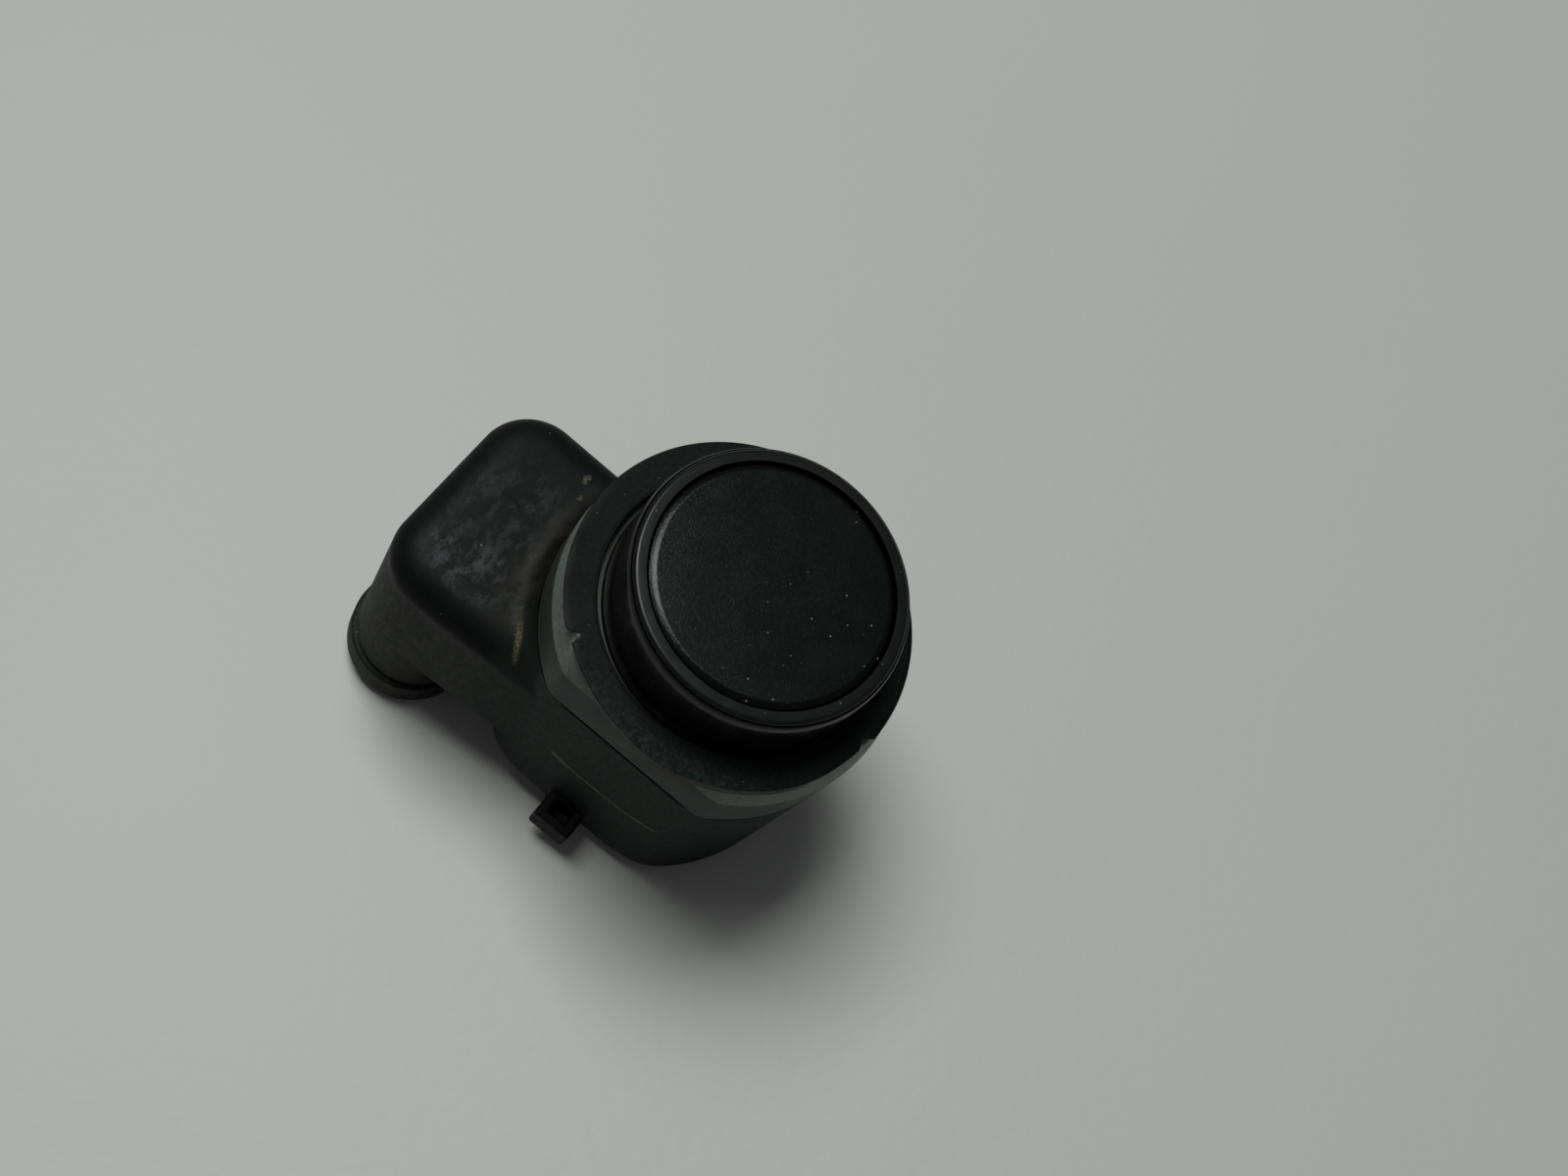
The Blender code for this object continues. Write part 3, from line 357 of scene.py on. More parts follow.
def turned(name, profile, solid=False):
    """Turn a (radius, z) profile round the head's axis; a solid one is capped at both ends."""
    turns = [2 * pi * k / HEAD_SEGMENTS for k in range(HEAD_SEGMENTS)]
    rings = []
    for r, z in profile:
        rings.append([(r * cos(t), r * sin(t), z) for t in turns])
    points, faces = skin(rings, closed=not solid)
    if solid:
        last = (len(rings) - 1) * HEAD_SEGMENTS
        faces.append(tuple(range(HEAD_SEGMENTS - 1, -1, -1)))
        faces.append(tuple(range(last, last + HEAD_SEGMENTS)))
    return make_mesh(name, points, faces)


def quarter(steps):
    """A quarter round as shares (inward, down), from its side to its top."""
    turns = [radians(90 * k / steps) for k in range(steps + 1)]
    return [(1 - cos(t), 1 - sin(t)) for t in turns]


def flat_turns():
    """Even angles, with closer ones where the round wall meets each flat."""
    turns = {round(TURN_STEP * k, 2) for k in range(int(360 / TURN_STEP))}
    for base in (FLAT_CORNER, 180 - FLAT_CORNER, 180 + FLAT_CORNER, 360 - FLAT_CORNER):
        turns |= {round(base + CORNER_STEP * k, 2) for k in range(-CORNER_STEPS, CORNER_STEPS + 1)}
    ordered = sorted(turns)
    kept = [ordered[0]]
    for turn in ordered[1:]:
        if turn - kept[-1] > CLOSEST_STEP:
            kept.append(turn)
    return [radians(turn) for turn in kept]


def flatted(r, flat, z, turns):
    """A circle with a flat on each side, in y."""
    ring = []
    for turn in turns:
        across = abs(sin(turn)) / flat
        reach = r
        if across > 0:
            reach = (across ** FLAT_POWER + (1 / r) ** FLAT_POWER) ** (-1 / FLAT_POWER)
        ring.append((reach * cos(turn), reach * sin(turn), z))
    return ring


def make_cup():
    """Membrane face with a shallow bevelled shoulder, turning down into the cup's wall."""
    inner = CUP_R - SHOULDER
    profile = [(r, CUP_FACE_Z) for r in (AXIS_R, inner * FACE_MIDDLE, inner - FACE_LAND)]
    for share, drop in SHOULDER_CURVE:
        profile.append((inner + SHOULDER * share, CUP_FACE_Z - SHOULDER_DROP * drop))
    edge_z = CUP_FACE_Z - SHOULDER_DROP
    profile += [(CUP_R - CUP_EDGE, edge_z - CUP_EDGE_DROPS[0]), (CUP_R, edge_z - CUP_EDGE_DROPS[1])]
    profile += [(CUP_R, CUP_FLANGE_Z), (CUP_FLANGE_R, CUP_FLANGE_Z), (CUP_FLANGE_R, CUP_BACK_Z)]
    profile += [(CUP_IN_R, CUP_BACK_Z), (CUP_IN_R, CUP_FLOOR_Z), (AXIS_R, CUP_FLOOR_Z)]
    return turned("visual_cup", profile, solid=True)


def make_ring():
    """Rubber ring whose outer top edge is broadly rounded."""
    profile = [(RING_IN_R, RING_BACK_Z), (RING_BODY_R, RING_BACK_Z)]
    profile += [(RING_BODY_R, RING_STEP_Z), (RING_OUT_R, RING_STEP_Z)]
    for inward, down in quarter(RING_EDGE_STEPS):
        profile.append((RING_OUT_R - RING_EDGE * inward, FACE_Z - RING_EDGE * down))
    profile += [(RING_IN_R + RING_IN_EDGE, FACE_Z), (RING_IN_R, FACE_Z - RING_IN_EDGE)]
    return turned("visual_ring", profile)


def soft_edge(r, flat, z, steps):
    """Outlines (radius, flat, z) of one corner of the cap, softened by its steps."""
    return [(r - inward, flat - inward, z + upward) for inward, upward in steps]


def make_cap():
    """Collar, chamfer and neck in one moulding, with its bore."""
    stack = [(SPIGOT_R, SPIGOT_FLAT, SPIGOT_BACK_Z), (SPIGOT_R, SPIGOT_FLAT, CAP_BACK_Z)]
    stack += soft_edge(BODY_R, BODY_FLAT, CAP_BACK_Z, SEAM_EDGE)
    stack += soft_edge(RIDGE_R, RIDGE_FLAT, RIDGE_Z, RIDGE_EDGE)
    stack += soft_edge(CAP_TOP_R, CAP_TOP_FLAT, CAP_TOP_Z, TOP_EDGE)
    stack += [(NECK_R + NECK_FOOT, NO_FLAT, CAP_TOP_Z), (NECK_R, NO_FLAT, CAP_TOP_Z + NECK_FOOT)]
    lip = NECK_R - LIP_IN_R - LIP_LAND
    for inward, down in quarter(LIP_STEPS):
        stack.append((NECK_R - lip * inward, NO_FLAT, LIP_Z - LIP_ROUND * down))
    stack += [(LIP_IN_R, NO_FLAT, LIP_Z - LIP_EDGE), (LIP_IN_R, NO_FLAT, SHELF_Z)]
    stack += [(NECK_BORE_R, NO_FLAT, SHELF_Z), (NECK_BORE_R, NO_FLAT, CAP_STEP_Z)]
    stack += [(CAP_BORE_R, CAP_BORE_FLAT, CAP_STEP_Z), (CAP_BORE_R, CAP_BORE_FLAT, SPIGOT_BACK_Z)]
    turns = flat_turns()
    points, faces = skin([flatted(r, flat, z, turns) for r, flat, z in stack], closed=True)
    add_key(points, faces)
    return make_mesh("visual_cap", points, faces, sharp=28.0)


def add_key(points, faces):
    """A small key on the collar, which fills the disc's left notch."""
    first = len(points)
    for turn, r, z in KEY:
        t = radians(turn)
        points.append((r * cos(t), r * sin(t), z))
    for face in ((0, 1, 2), (0, 3, 4, 1), (1, 4, 5, 2), (2, 5, 3, 0), (5, 4, 3)):
        faces.append(tuple(first + k for k in face))


def disc_side(turn):
    """One along the disc's small edge, fading out at its ends."""
    if not DISC_SAG_FROM < turn < DISC_SAG_TO:
        return 0.0
    share = min(turn - DISC_SAG_FROM, DISC_SAG_TO - turn) / DISC_SAG_FADE
    share = min(share, 1.0)
    return share * share * (3 - 2 * share)


def disc_edge():
    """Outer edge of the seal disc as (angle, radius); each notch is cut a little unevenly."""
    edge = []
    for turn in range(DISC_SMALL_TURNS[0], DISC_SMALL_TURNS[1] + 1):
        edge.append((turn, DISC_R_SMALL + DISC_SAG * disc_side(turn)))
    edge += DISC_RIGHT_NOTCH
    for turn in range(DISC_LARGE_TURNS[0], DISC_LARGE_TURNS[1] + 1):
        edge.append((turn, DISC_R_LARGE))
    edge += DISC_LEFT_NOTCH
    return edge


def disc_ring(outline, z):
    ring = []
    for turn, r in outline:
        t = radians(turn)
        ring.append((DISC_OFF[0] + r * cos(t), DISC_OFF[1] + r * sin(t), z))
    return ring


def make_disc():
    """Seal disc, whose wall flares a little outwards along its small edge."""
    edge = disc_edge()
    rings = []
    for inset, z in DISC_WALL:
        outline = []
        for turn, r in edge:
            side = disc_side(turn)
            outline.append((turn, r - inset * (1 - side) - DISC_FLARE * side * z))
        rings.append(disc_ring(outline, z))
    for outset, z in DISC_BORE:
        rings.append(disc_ring([(turn, DISC_HOLE_R + outset) for turn, r in edge], z))
    points, faces = skin(rings, closed=True)
    return make_mesh("visual_disc", points, faces)


class Field:
    """Distance field of the housing in millimetres, negative inside."""

    @staticmethod
    def join(a, b, k):
        """Union whose inner corner is filled to about k."""
        h = np.maximum(k - np.abs(a - b), 0.0) / k
        return np.minimum(a, b) - h * h * k * 0.25

    @staticmethod
    def cut(a, b, k):
        """a without b, with a small rounding of about k."""
        h = np.maximum(k - np.abs(a + b), 0.0) / k
        return np.maximum(a, -b) + h * h * k * 0.25

    @staticmethod
    def box(x, y, z, low, high, r):
        q = []
        for c, a, b in zip((x, y, z), low, high):
            q.append(np.abs(c - (a + b) / 2) - (b - a) / 2 + r)
        outside = np.sqrt(sum(np.maximum(c, 0.0) ** 2 for c in q))
        return outside + np.minimum(np.maximum(np.maximum(q[0], q[1]), q[2]), 0.0) - r

    @staticmethod
    def stadium(x, y, r):
        """Distance to the tube's rounded oblong outline."""
        along = np.clip(y, TUBE_Y[0], TUBE_Y[1])
        return np.sqrt((x - TUBE_X) ** 2 + (y - along) ** 2) - r

    @staticmethod
    def slab(z, low, high):
        return np.maximum(low - z, z - high)

    @staticmethod
    def edged(a, b, r):
        """Intersection of two faces with a rounded edge of radius r."""
        u = np.maximum(a + r, 0.0)
        v = np.maximum(b + r, 0.0)
        return np.minimum(np.maximum(a, b), -r) + np.sqrt(u * u + v * v)

    @classmethod
    def barrel(cls, x, y, z):
        share = np.clip((BARREL_FRONT_Z - z) / (BARREL_FRONT_Z - BARREL_BACK_Z), 0.0, 1.0)
        rise = np.clip((z - BARREL_BACK_Z) / BACK_ROUND_LONG, 0.0, 1.0)
        inset = BACK_ROUND_IN * (1 - np.sqrt(np.maximum(1 - (1 - rise) ** 2, 0.0)))
        wall = np.sqrt(x * x + y * y) - (BODY_R - DRAFT * share - inset)
        flat = np.abs(y) - (BODY_FLAT - DRAFT * share - BACK_ROUND_FLAT * inset)
        side = cls.edged(wall, flat, BARREL_CORNER)
        front = cls.edged(side, z - BARREL_FRONT_Z, BARREL_EDGE)
        return cls.edged(front, BARREL_BACK_Z - z, BARREL_EDGE)

    @staticmethod
    def arm(x, y, z):
        share = np.clip((ARM_FRONT_Z - z) / (ARM_FRONT_Z - ARM_BACK_Z), 0.0, 1.0)
        bend = np.clip((x - ARM_BEND_X) / ARM_BEND_LONG, 0.0, 1.0) ** ARM_BEND_POWER * ARM_BEND
        low = ARM_Y_FRONT + (ARM_Y_BACK - ARM_Y_FRONT) * share + bend
        r = ARM_CORNER_R + ARM_CORNER_GROWTH * share
        qx = ARM_END_X - x + r
        qy = np.maximum(low - y, y - ARM_Y_HIGH) + r
        outline = np.sqrt(np.maximum(qx, 0.0) ** 2 + np.maximum(qy, 0.0) ** 2)
        outline = outline + np.minimum(np.maximum(qx, qy), 0.0) - r
        stretch = ARM_ROUND_IN / ARM_ROUND_DOWN
        u = outline + ARM_ROUND_IN
        v = (z - ARM_FRONT_Z) * stretch + ARM_ROUND_IN
        top = np.sqrt(np.maximum(u, 0.0) ** 2 + np.maximum(v, 0.0) ** 2)
        top = top + np.minimum(np.maximum(u, v), 0.0) - ARM_ROUND_IN
        return np.maximum(np.maximum(top, ARM_BACK_Z - z), x - ARM_INNER_X)

    @classmethod
    def tube(cls, x, y, z):
        share = np.clip((ARM_BACK_Z - z) / (ARM_BACK_Z - TUBE_LIP_Z), 0.0, 1.0)
        length = cls.slab(z, TUBE_BACK_Z + TUBE_INTO_RIM, ARM_BACK_Z + TUBE_INTO_ARM)
        body = np.maximum(cls.stadium(x, y, TUBE_R + TUBE_FLARE * share), length)
        rim_length = cls.slab(z, TUBE_BACK_Z, TUBE_LIP_Z - RIM_SET_BACK)
        rim = cls.edged(cls.stadium(x, y, TUBE_RIM_R), rim_length, RIM_ROUND)
        groove_length = cls.slab(z, TUBE_LIP_Z - GROOVE_LONG, TUBE_LIP_Z)
        groove = np.maximum(groove_length, -cls.stadium(x, y, TUBE_R - GROOVE_DEEP))
        return cls.cut(np.minimum(body, rim), groove, GROOVE_ROUND)

    @classmethod
    def housing(cls, x, y, z):
        barrel = cls.barrel(x, y, z)
        arm = np.minimum(cls.arm(x, y, z), cls.tube(x, y, z))
        middle = np.clip((COVE_END_Y - np.abs(y)) / COVE_FADE, 0.0, 1.0)
        reach = COVE_SMALL + COVE_MORE * middle * middle * (3 - 2 * middle)
        d = cls.join(barrel, arm, reach)
        d = np.maximum(d, z - BARREL_FRONT_Z)
        tab_low = (TAB_X[0], TAB_Y[0], TAB_Z[0])
        tab_high = (TAB_X[1], TAB_Y[1], TAB_Z[1])
        d = cls.join(d, cls.box(x, np.abs(y), z, tab_low, tab_high, TAB_ROUND), TAB_COVE)
        pocket_low = (TAB_X[0] + POCKET_WALL, POCKET_Y, POCKET_Z)
        pocket_high = (TAB_X[1] - POCKET_WALL, TAB_Y[1] - POCKET_WALL, TAB_Z[1] + POCKET_OPEN)
        d = cls.cut(d, cls.box(x, np.abs(y), z, pocket_low, pocket_high, POCKET_ROUND), POCKET_EDGE)
        bore = np.maximum(np.sqrt(x * x + y * y) - BORE_R, np.abs(y) - BORE_FLAT)
        d = cls.cut(d, bore, INNER_ROUND)
        d = cls.cut(d, cls.box(x, y, z, ROOM_LOW, ROOM_HIGH, INNER_ROUND), INNER_ROUND)
        mouth = np.clip(TUBE_BACK_Z + MOUTH_LONG - z, 0.0, MOUTH_WIDEST)
        socket = np.maximum(cls.stadium(x, y, SOCKET_R + mouth), z - SOCKET_FLOOR_Z)
        d = cls.cut(d, socket, SOCKET_EDGE)
        for pin_y in PIN_Y:
            hole = np.maximum(np.abs(x - TUBE_X), np.abs(y - pin_y)) - PIN_HOLE
            d = np.maximum(d, -np.maximum(hole, z - PIN_HOLE_TOP_Z))
        return d


def surface_net(field, low, high, step):
    """Quads over a field's zero level, one vertex in each crossed cell, then pulled onto the level."""
    axes = [np.arange(a - 2 * step, b + 3 * step, step) for a, b in zip(low, high)]
    gx, gy, gz = np.meshgrid(*axes, indexing="ij")
    d = field(gx, gy, gz)
    inside = d < 0
    shape = tuple(n - 1 for n in d.shape)
    total = np.zeros(shape)
    place = np.zeros(shape + (3,))
    corners = [(i, j, k) for i in (0, 1) for j in (0, 1) for k in (0, 1)]

    def part(grid, c):
        return grid[c[0]:c[0] + shape[0], c[1]:c[1] + shape[1], c[2]:c[2] + shape[2]]

    for a in corners:
        for axis in range(3):
            if a[axis]:
                continue
            b = tuple(a[n] + (1 if n == axis else 0) for n in range(3))
            da = part(d, a)
            db = part(d, b)
            crossed = part(inside, a) != part(inside, b)
            t = np.where(crossed, da / np.where(crossed, da - db, 1.0), 0.0)
            total += crossed
            for n in range(3):
                place[..., n] += np.where(crossed, a[n] + (t if n == axis else 0.0), 0.0)
    used = total > 0
    index = -np.ones(shape, dtype=np.int64)
    index[used] = np.arange(int(used.sum()))
    cells = np.argwhere(used)
    points = (cells + place[used] / total[used][:, None]) * step + np.array([axis[0] for axis in axes])
    faces = []
    for axis in range(3):
        p, q = [n for n in range(3) if n != axis]
        if axis == 1:
            p, q = q, p
        lo = [1, 1, 1]
        lo[axis] = 0
        first = inside[lo[0]:shape[0], lo[1]:shape[1], lo[2]:shape[2]]
        nxt = [slice(lo[n] + (1 if n == axis else 0), shape[n] + (1 if n == axis else 0)) for n in range(3)]
        second = inside[tuple(nxt)]
        where = np.argwhere(first != second) + np.array(lo)
        starts = first[tuple((where - np.array(lo)).T)]
        ring = []
        for up, uq in ((0, 0), (-1, 0), (-1, -1), (0, -1)):
            at = where.copy()
            at[:, p] += up
            at[:, q] += uq
            ring.append(index[tuple(at.T)])
        quads = np.stack(ring, axis=1)
        quads[~starts] = quads[~starts][:, ::-1]
        faces.append(quads)
    e = SLOPE_STEP
    for _ in range(NET_PULLS):
        x, y, z = points.T
        value = field(x, y, z)
        slope = np.stack([
            field(x + e, y, z) - field(x - e, y, z),
            field(x, y + e, z) - field(x, y - e, z),
            field(x, y, z + e) - field(x, y, z - e)], axis=1) / (2 * e)
        size = np.maximum((slope ** 2).sum(axis=1), SLOPE_LEAST)
        move = -slope * (value / size)[:, None]
        points = points + np.clip(move, -step / 2, step / 2)
    return points, np.concatenate(faces)


def make_housing():
    low = (ARM_END_X - NET_MARGIN_END, -TAB_Y[1] - NET_MARGIN, TUBE_BACK_Z - NET_MARGIN)
    high = (BODY_R + NET_MARGIN, TAB_Y[1] + NET_MARGIN, BARREL_FRONT_Z + NET_MARGIN)
    points, faces = surface_net(Field.housing, low, high, NET_STEP)
    piece = make_mesh("visual_housing", points.tolist(), faces.tolist(), sharp=None)
    thin = piece.modifiers.new("thin", "DECIMATE")
    thin.ratio = NET_KEEP
    return piece


class Paint:
    """A material built node by node, in millimetres of the part's frame."""

    def __init__(self, name):
        self.material = bpy.data.materials.new(name)
        self.material.use_nodes = True
        self.tree = self.material.node_tree
        self.shader = self.tree.nodes["Principled BSDF"]
        coords = self.tree.nodes.new("ShaderNodeTexCoord")
        scale = self.tree.nodes.new("ShaderNodeVectorMath")
        scale.operation = "SCALE"
        scale.inputs["Scale"].default_value = 1 / MM
        self.tree.links.new(coords.outputs["Object"], scale.inputs[0])
        self.place = scale.outputs[0]
        split = self.tree.nodes.new("ShaderNodeSeparateXYZ")
        self.tree.links.new(self.place, split.inputs[0])
        self.x, self.y, self.z = split.outputs
        self.bumps = []

    def feed(self, socket, value):
        if hasattr(value, "is_linked"):
            self.tree.links.new(value, socket)
        else:
            socket.default_value = value

    def math(self, operation, a, b=0.0, c=None):
        node = self.tree.nodes.new("ShaderNodeMath")
        node.operation = operation
        self.feed(node.inputs[0], a)
        self.feed(node.inputs[1], b)
        if c is not None:
            self.feed(node.inputs[2], c)
        return node.outputs[0]

    def both(self, a, b):
        """Product of two masks, or of a mask and a share."""
        return self.math("MULTIPLY", a, b)

    def squares(self, a, b):
        return self.math("ADD", self.both(a, a), self.both(b, b))

    def ramp(self, value, low, high, to_low=0.0, to_high=1.0):
        """Smooth step of a value between two levels."""
        node = self.tree.nodes.new("ShaderNodeMapRange")
        node.interpolation_type = "SMOOTHSTEP"
        self.feed(node.inputs["Value"], value)
        node.inputs["From Min"].default_value = low
        node.inputs["From Max"].default_value = high
        node.inputs["To Min"].default_value = to_low
        node.inputs["To Max"].default_value = to_high
        return node.outputs[0]

    def stretched(self, scale, turn=(0.0, 0.0, 0.0)):
        node = self.tree.nodes.new("ShaderNodeMapping")
        node.inputs["Scale"].default_value = scale
        node.inputs["Rotation"].default_value = turn
        self.tree.links.new(self.place, node.inputs["Vector"])
        return node.outputs[0]

    def noise(self, scale, detail=3.0, rough=0.55, vector=None):
        node = self.tree.nodes.new("ShaderNodeTexNoise")
        node.inputs["Scale"].default_value = scale
        node.inputs["Detail"].default_value = detail
        node.inputs["Roughness"].default_value = rough
        self.tree.links.new(self.place if vector is None else vector, node.inputs["Vector"])
        return node.outputs["Fac"]

    def specks(self, scale, size, rarity):
        """Small spots: one in each chosen cell of a cell pattern."""
        node = self.tree.nodes.new("ShaderNodeTexVoronoi")
        node.inputs["Scale"].default_value = scale
        self.tree.links.new(self.place, node.inputs["Vector"])
        spot = self.ramp(node.outputs["Distance"], size * 0.6, size, 1.0, 0.0)
        pick = self.tree.nodes.new("ShaderNodeSeparateColor")
        self.tree.links.new(node.outputs["Color"], pick.inputs[0])
        chosen = self.math("GREATER_THAN", pick.outputs[0], rarity)
        vary = self.math("MULTIPLY_ADD", pick.outputs[1], 0.7, 0.3)
        return self.both(self.both(spot, chosen), vary)

    def mix(self, factor, a, b):
        node = self.tree.nodes.new("ShaderNodeMix")
        node.data_type = "RGBA"
        self.feed(node.inputs["Factor"], factor)
        for socket, value in ((node.inputs[6], a), (node.inputs[7], b)):
            self.feed(socket, value if hasattr(value, "is_linked") else (value[0], value[1], value[2], 1.0))
        return node.outputs[2]

    def over(self, base, tint, mask, share):
        """Lay a tint over a base where a mask says, at a share of its full strength."""
        return self.mix(self.both(mask, share), base, tint)

    def stroke(self, points, plane, width, wobble=0.0):
        """A drawn line through points of two coordinates, fading over its width."""
        u, v = {"xz": (self.x, self.z), "xy": (self.x, self.y)}[plane]
        if wobble:
            shake = self.noise(0.9, 2.0)
            v = self.math("ADD", v, self.math("MULTIPLY_ADD", shake, wobble, -wobble / 2))
        nearest = None
        for (ax, ay), (bx, by) in zip(points, points[1:]):
            dx = bx - ax
            dy = by - ay
            length = dx * dx + dy * dy
            pu = self.math("SUBTRACT", u, ax)
            pv = self.math("SUBTRACT", v, ay)
            along = self.math("ADD", self.both(pu, dx / length), self.both(pv, dy / length))
            along = self.math("MINIMUM", self.math("MAXIMUM", along, 0.0), 1.0)
            ru = self.math("MULTIPLY_ADD", along, -dx, pu)
            rv = self.math("MULTIPLY_ADD", along, -dy, pv)
            gap = self.math("SQRT", self.squares(ru, rv))
            nearest = gap if nearest is None else self.math("MINIMUM", nearest, gap)
        return self.ramp(nearest, width * 0.25, width, 1.0, 0.0)

    def blob(self, place, soft):
        """A soft ellipsoid mask, from its centre and its radii."""
        total = None
        for axis, c, r in zip((self.x, self.y, self.z), *place):
            d = self.both(self.math("SUBTRACT", axis, c), 1.0 / r)
            d = self.both(d, d)
            total = d if total is None else self.math("ADD", total, d)
        return self.ramp(total, 1.0 - soft, 1.0, 1.0, 0.0)

    def facing(self, direction, low, high):
        """How much the surface faces a direction of the part's frame."""
        node = self.tree.nodes.new("ShaderNodeNewGeometry")
        dot = self.tree.nodes.new("ShaderNodeVectorMath")
        dot.operation = "DOT_PRODUCT"
        self.tree.links.new(node.outputs["Normal"], dot.inputs[0])
        dot.inputs[1].default_value = direction
        return self.ramp(dot.outputs["Value"], low, high)

    def bump(self, height, strength, distance):
        node = self.tree.nodes.new("ShaderNodeBump")
        node.inputs["Strength"].default_value = strength
        node.inputs["Distance"].default_value = distance * MM
        self.feed(node.inputs["Height"], height)
        if self.bumps:
            self.tree.links.new(self.bumps[-1], node.inputs["Normal"])
        self.bumps.append(node.outputs["Normal"])

    def done(self, colour, roughness, metallic=0.0, specular=0.5):
        self.feed(self.shader.inputs["Base Color"], colour)
        self.feed(self.shader.inputs["Roughness"], roughness)
        self.shader.inputs["Metallic"].default_value = metallic
        self.shader.inputs["Specular IOR Level"].default_value = specular
        if not metallic:
            self.shader.inputs["Specular Tint"].default_value = PLASTIC_TINT
        if self.bumps:
            self.tree.links.new(self.bumps[-1], self.shader.inputs["Normal"])
        return self.material


def paint_membrane():
    """Satin black paint with a fine grain, dust, crumbs on its right half, and painted shade on its steep
    shoulder.
    """
    p = Paint("membrane_black_paint")
    grain = p.noise(7.0, 4.0, 0.62)
    cloud = p.noise(0.35, 3.0)
    colour = p.mix(p.ramp(cloud, 0.35, 0.7), MEMBRANE_DARK, MEMBRANE_LIGHT)
    shoulder = p.facing(UP, 0.985, 0.93)
    # Painted shade: the steep shoulder, found by where it faces away from up, is painted near black
    colour = p.over(colour, MEMBRANE_SHOULDER_SHADE, shoulder, 0.9)
    colour = p.over(colour, MEMBRANE_DUST, p.specks(1.3, 0.11, 0.80), 0.10)
    crumbs = p.both(p.specks(2.6, 0.20, 0.90), p.ramp(p.x, -2.0, 6.0))
    colour = p.over(colour, MEMBRANE_CRUMBS, crumbs, 0.8)
    p.bump(grain, 1.0, 0.017)
    p.bump(crumbs, 0.6, 0.05)
    rough = p.math("ADD", p.both(shoulder, -0.06), p.ramp(grain, 0.3, 0.7, 0.19, 0.28))
    return p.done(colour, rough, specular=0.24)


def paint_ring():
    p = Paint("ring_rubber_black")
    cloud = p.noise(0.8, 4.0)
    colour = p.mix(cloud, RING_DARK, RING_LIGHT)
    # Painted shade: where the ring faces away from up, on its rounded outer edge and walls, it is painted
    # black
    colour = p.mix(p.facing(UP, 0.90, 0.45), colour, BLACK)
    colour = p.over(colour, RING_DUST, p.specks(1.6, 0.12, 0.75), 0.35)
    p.bump(p.noise(14.0, 3.0), 0.25, 0.02)
    return p.done(colour, p.ramp(cloud, 0.3, 0.7, 0.29, 0.35), specular=0.25)


def paint_disc():
    """Blue-black rubber, dusty along its front edge, with a brownish wall and a bore edge painted lighter,
    partly wear and partly painted highlight.
    """
    p = Paint("seal_rubber_blue_black")
    cloud = p.noise(0.45, 4.0, 0.6)
    mottle = p.ramp(p.noise(3.6, 5.0, 0.72), 0.35, 0.68)
    colour = p.mix(mottle, DISC_DARK, DISC_LIGHT)
    across = p.math("SUBTRACT", p.x, DISC_OFF[0])
    along = p.math("SUBTRACT", p.y, DISC_OFF[1])
    out = p.math("SQRT", p.squares(across, along))
    front = p.both(p.ramp(p.y, -7.0, -10.5), p.ramp(out, 9.5, 10.8))
    haze = p.ramp(p.noise(1.8, 5.0, 0.7), 0.42, 0.72)
    colour = p.over(colour, DISC_HAZE, haze, p.math("MULTIPLY_ADD", front, 0.60, 0.08))
    dust = p.specks(4.2, 0.22, 0.80)
    colour = p.over(colour, DISC_DUST, dust, p.math("MULTIPLY_ADD", front, 0.6, 0.25))
    colour = p.over(colour, DISC_SPECKS, p.specks(2.2, 0.12, 0.86), 0.35)
    # Painted highlight, partly wear: a lighter brownish line along the top edge of the hole
    bore = p.ramp(out, DISC_HOLE_R + 0.22, DISC_HOLE_R + 0.12)
    bore = p.both(bore, p.ramp(p.z, -0.12, -0.04))
    colour = p.over(colour, DISC_BORE_WEAR_HIGHLIGHT, bore, 0.16)
    wall = p.both(p.facing(UP, 0.6, 0.3), p.facing(DOWN, 0.8, 0.5))
    wall = p.both(wall, p.ramp(out, 10.8, 11.0))
    colour = p.over(colour, DISC_WALL_BROWN, wall, p.ramp(p.z, -0.10, -0.25))
    p.bump(p.noise(11.0, 4.0), 0.30, 0.025)
    p.bump(cloud, 0.2, 0.05)
    return p.done(colour, p.ramp(cloud, 0.3, 0.7, 0.48, 0.62), specular=0.12)


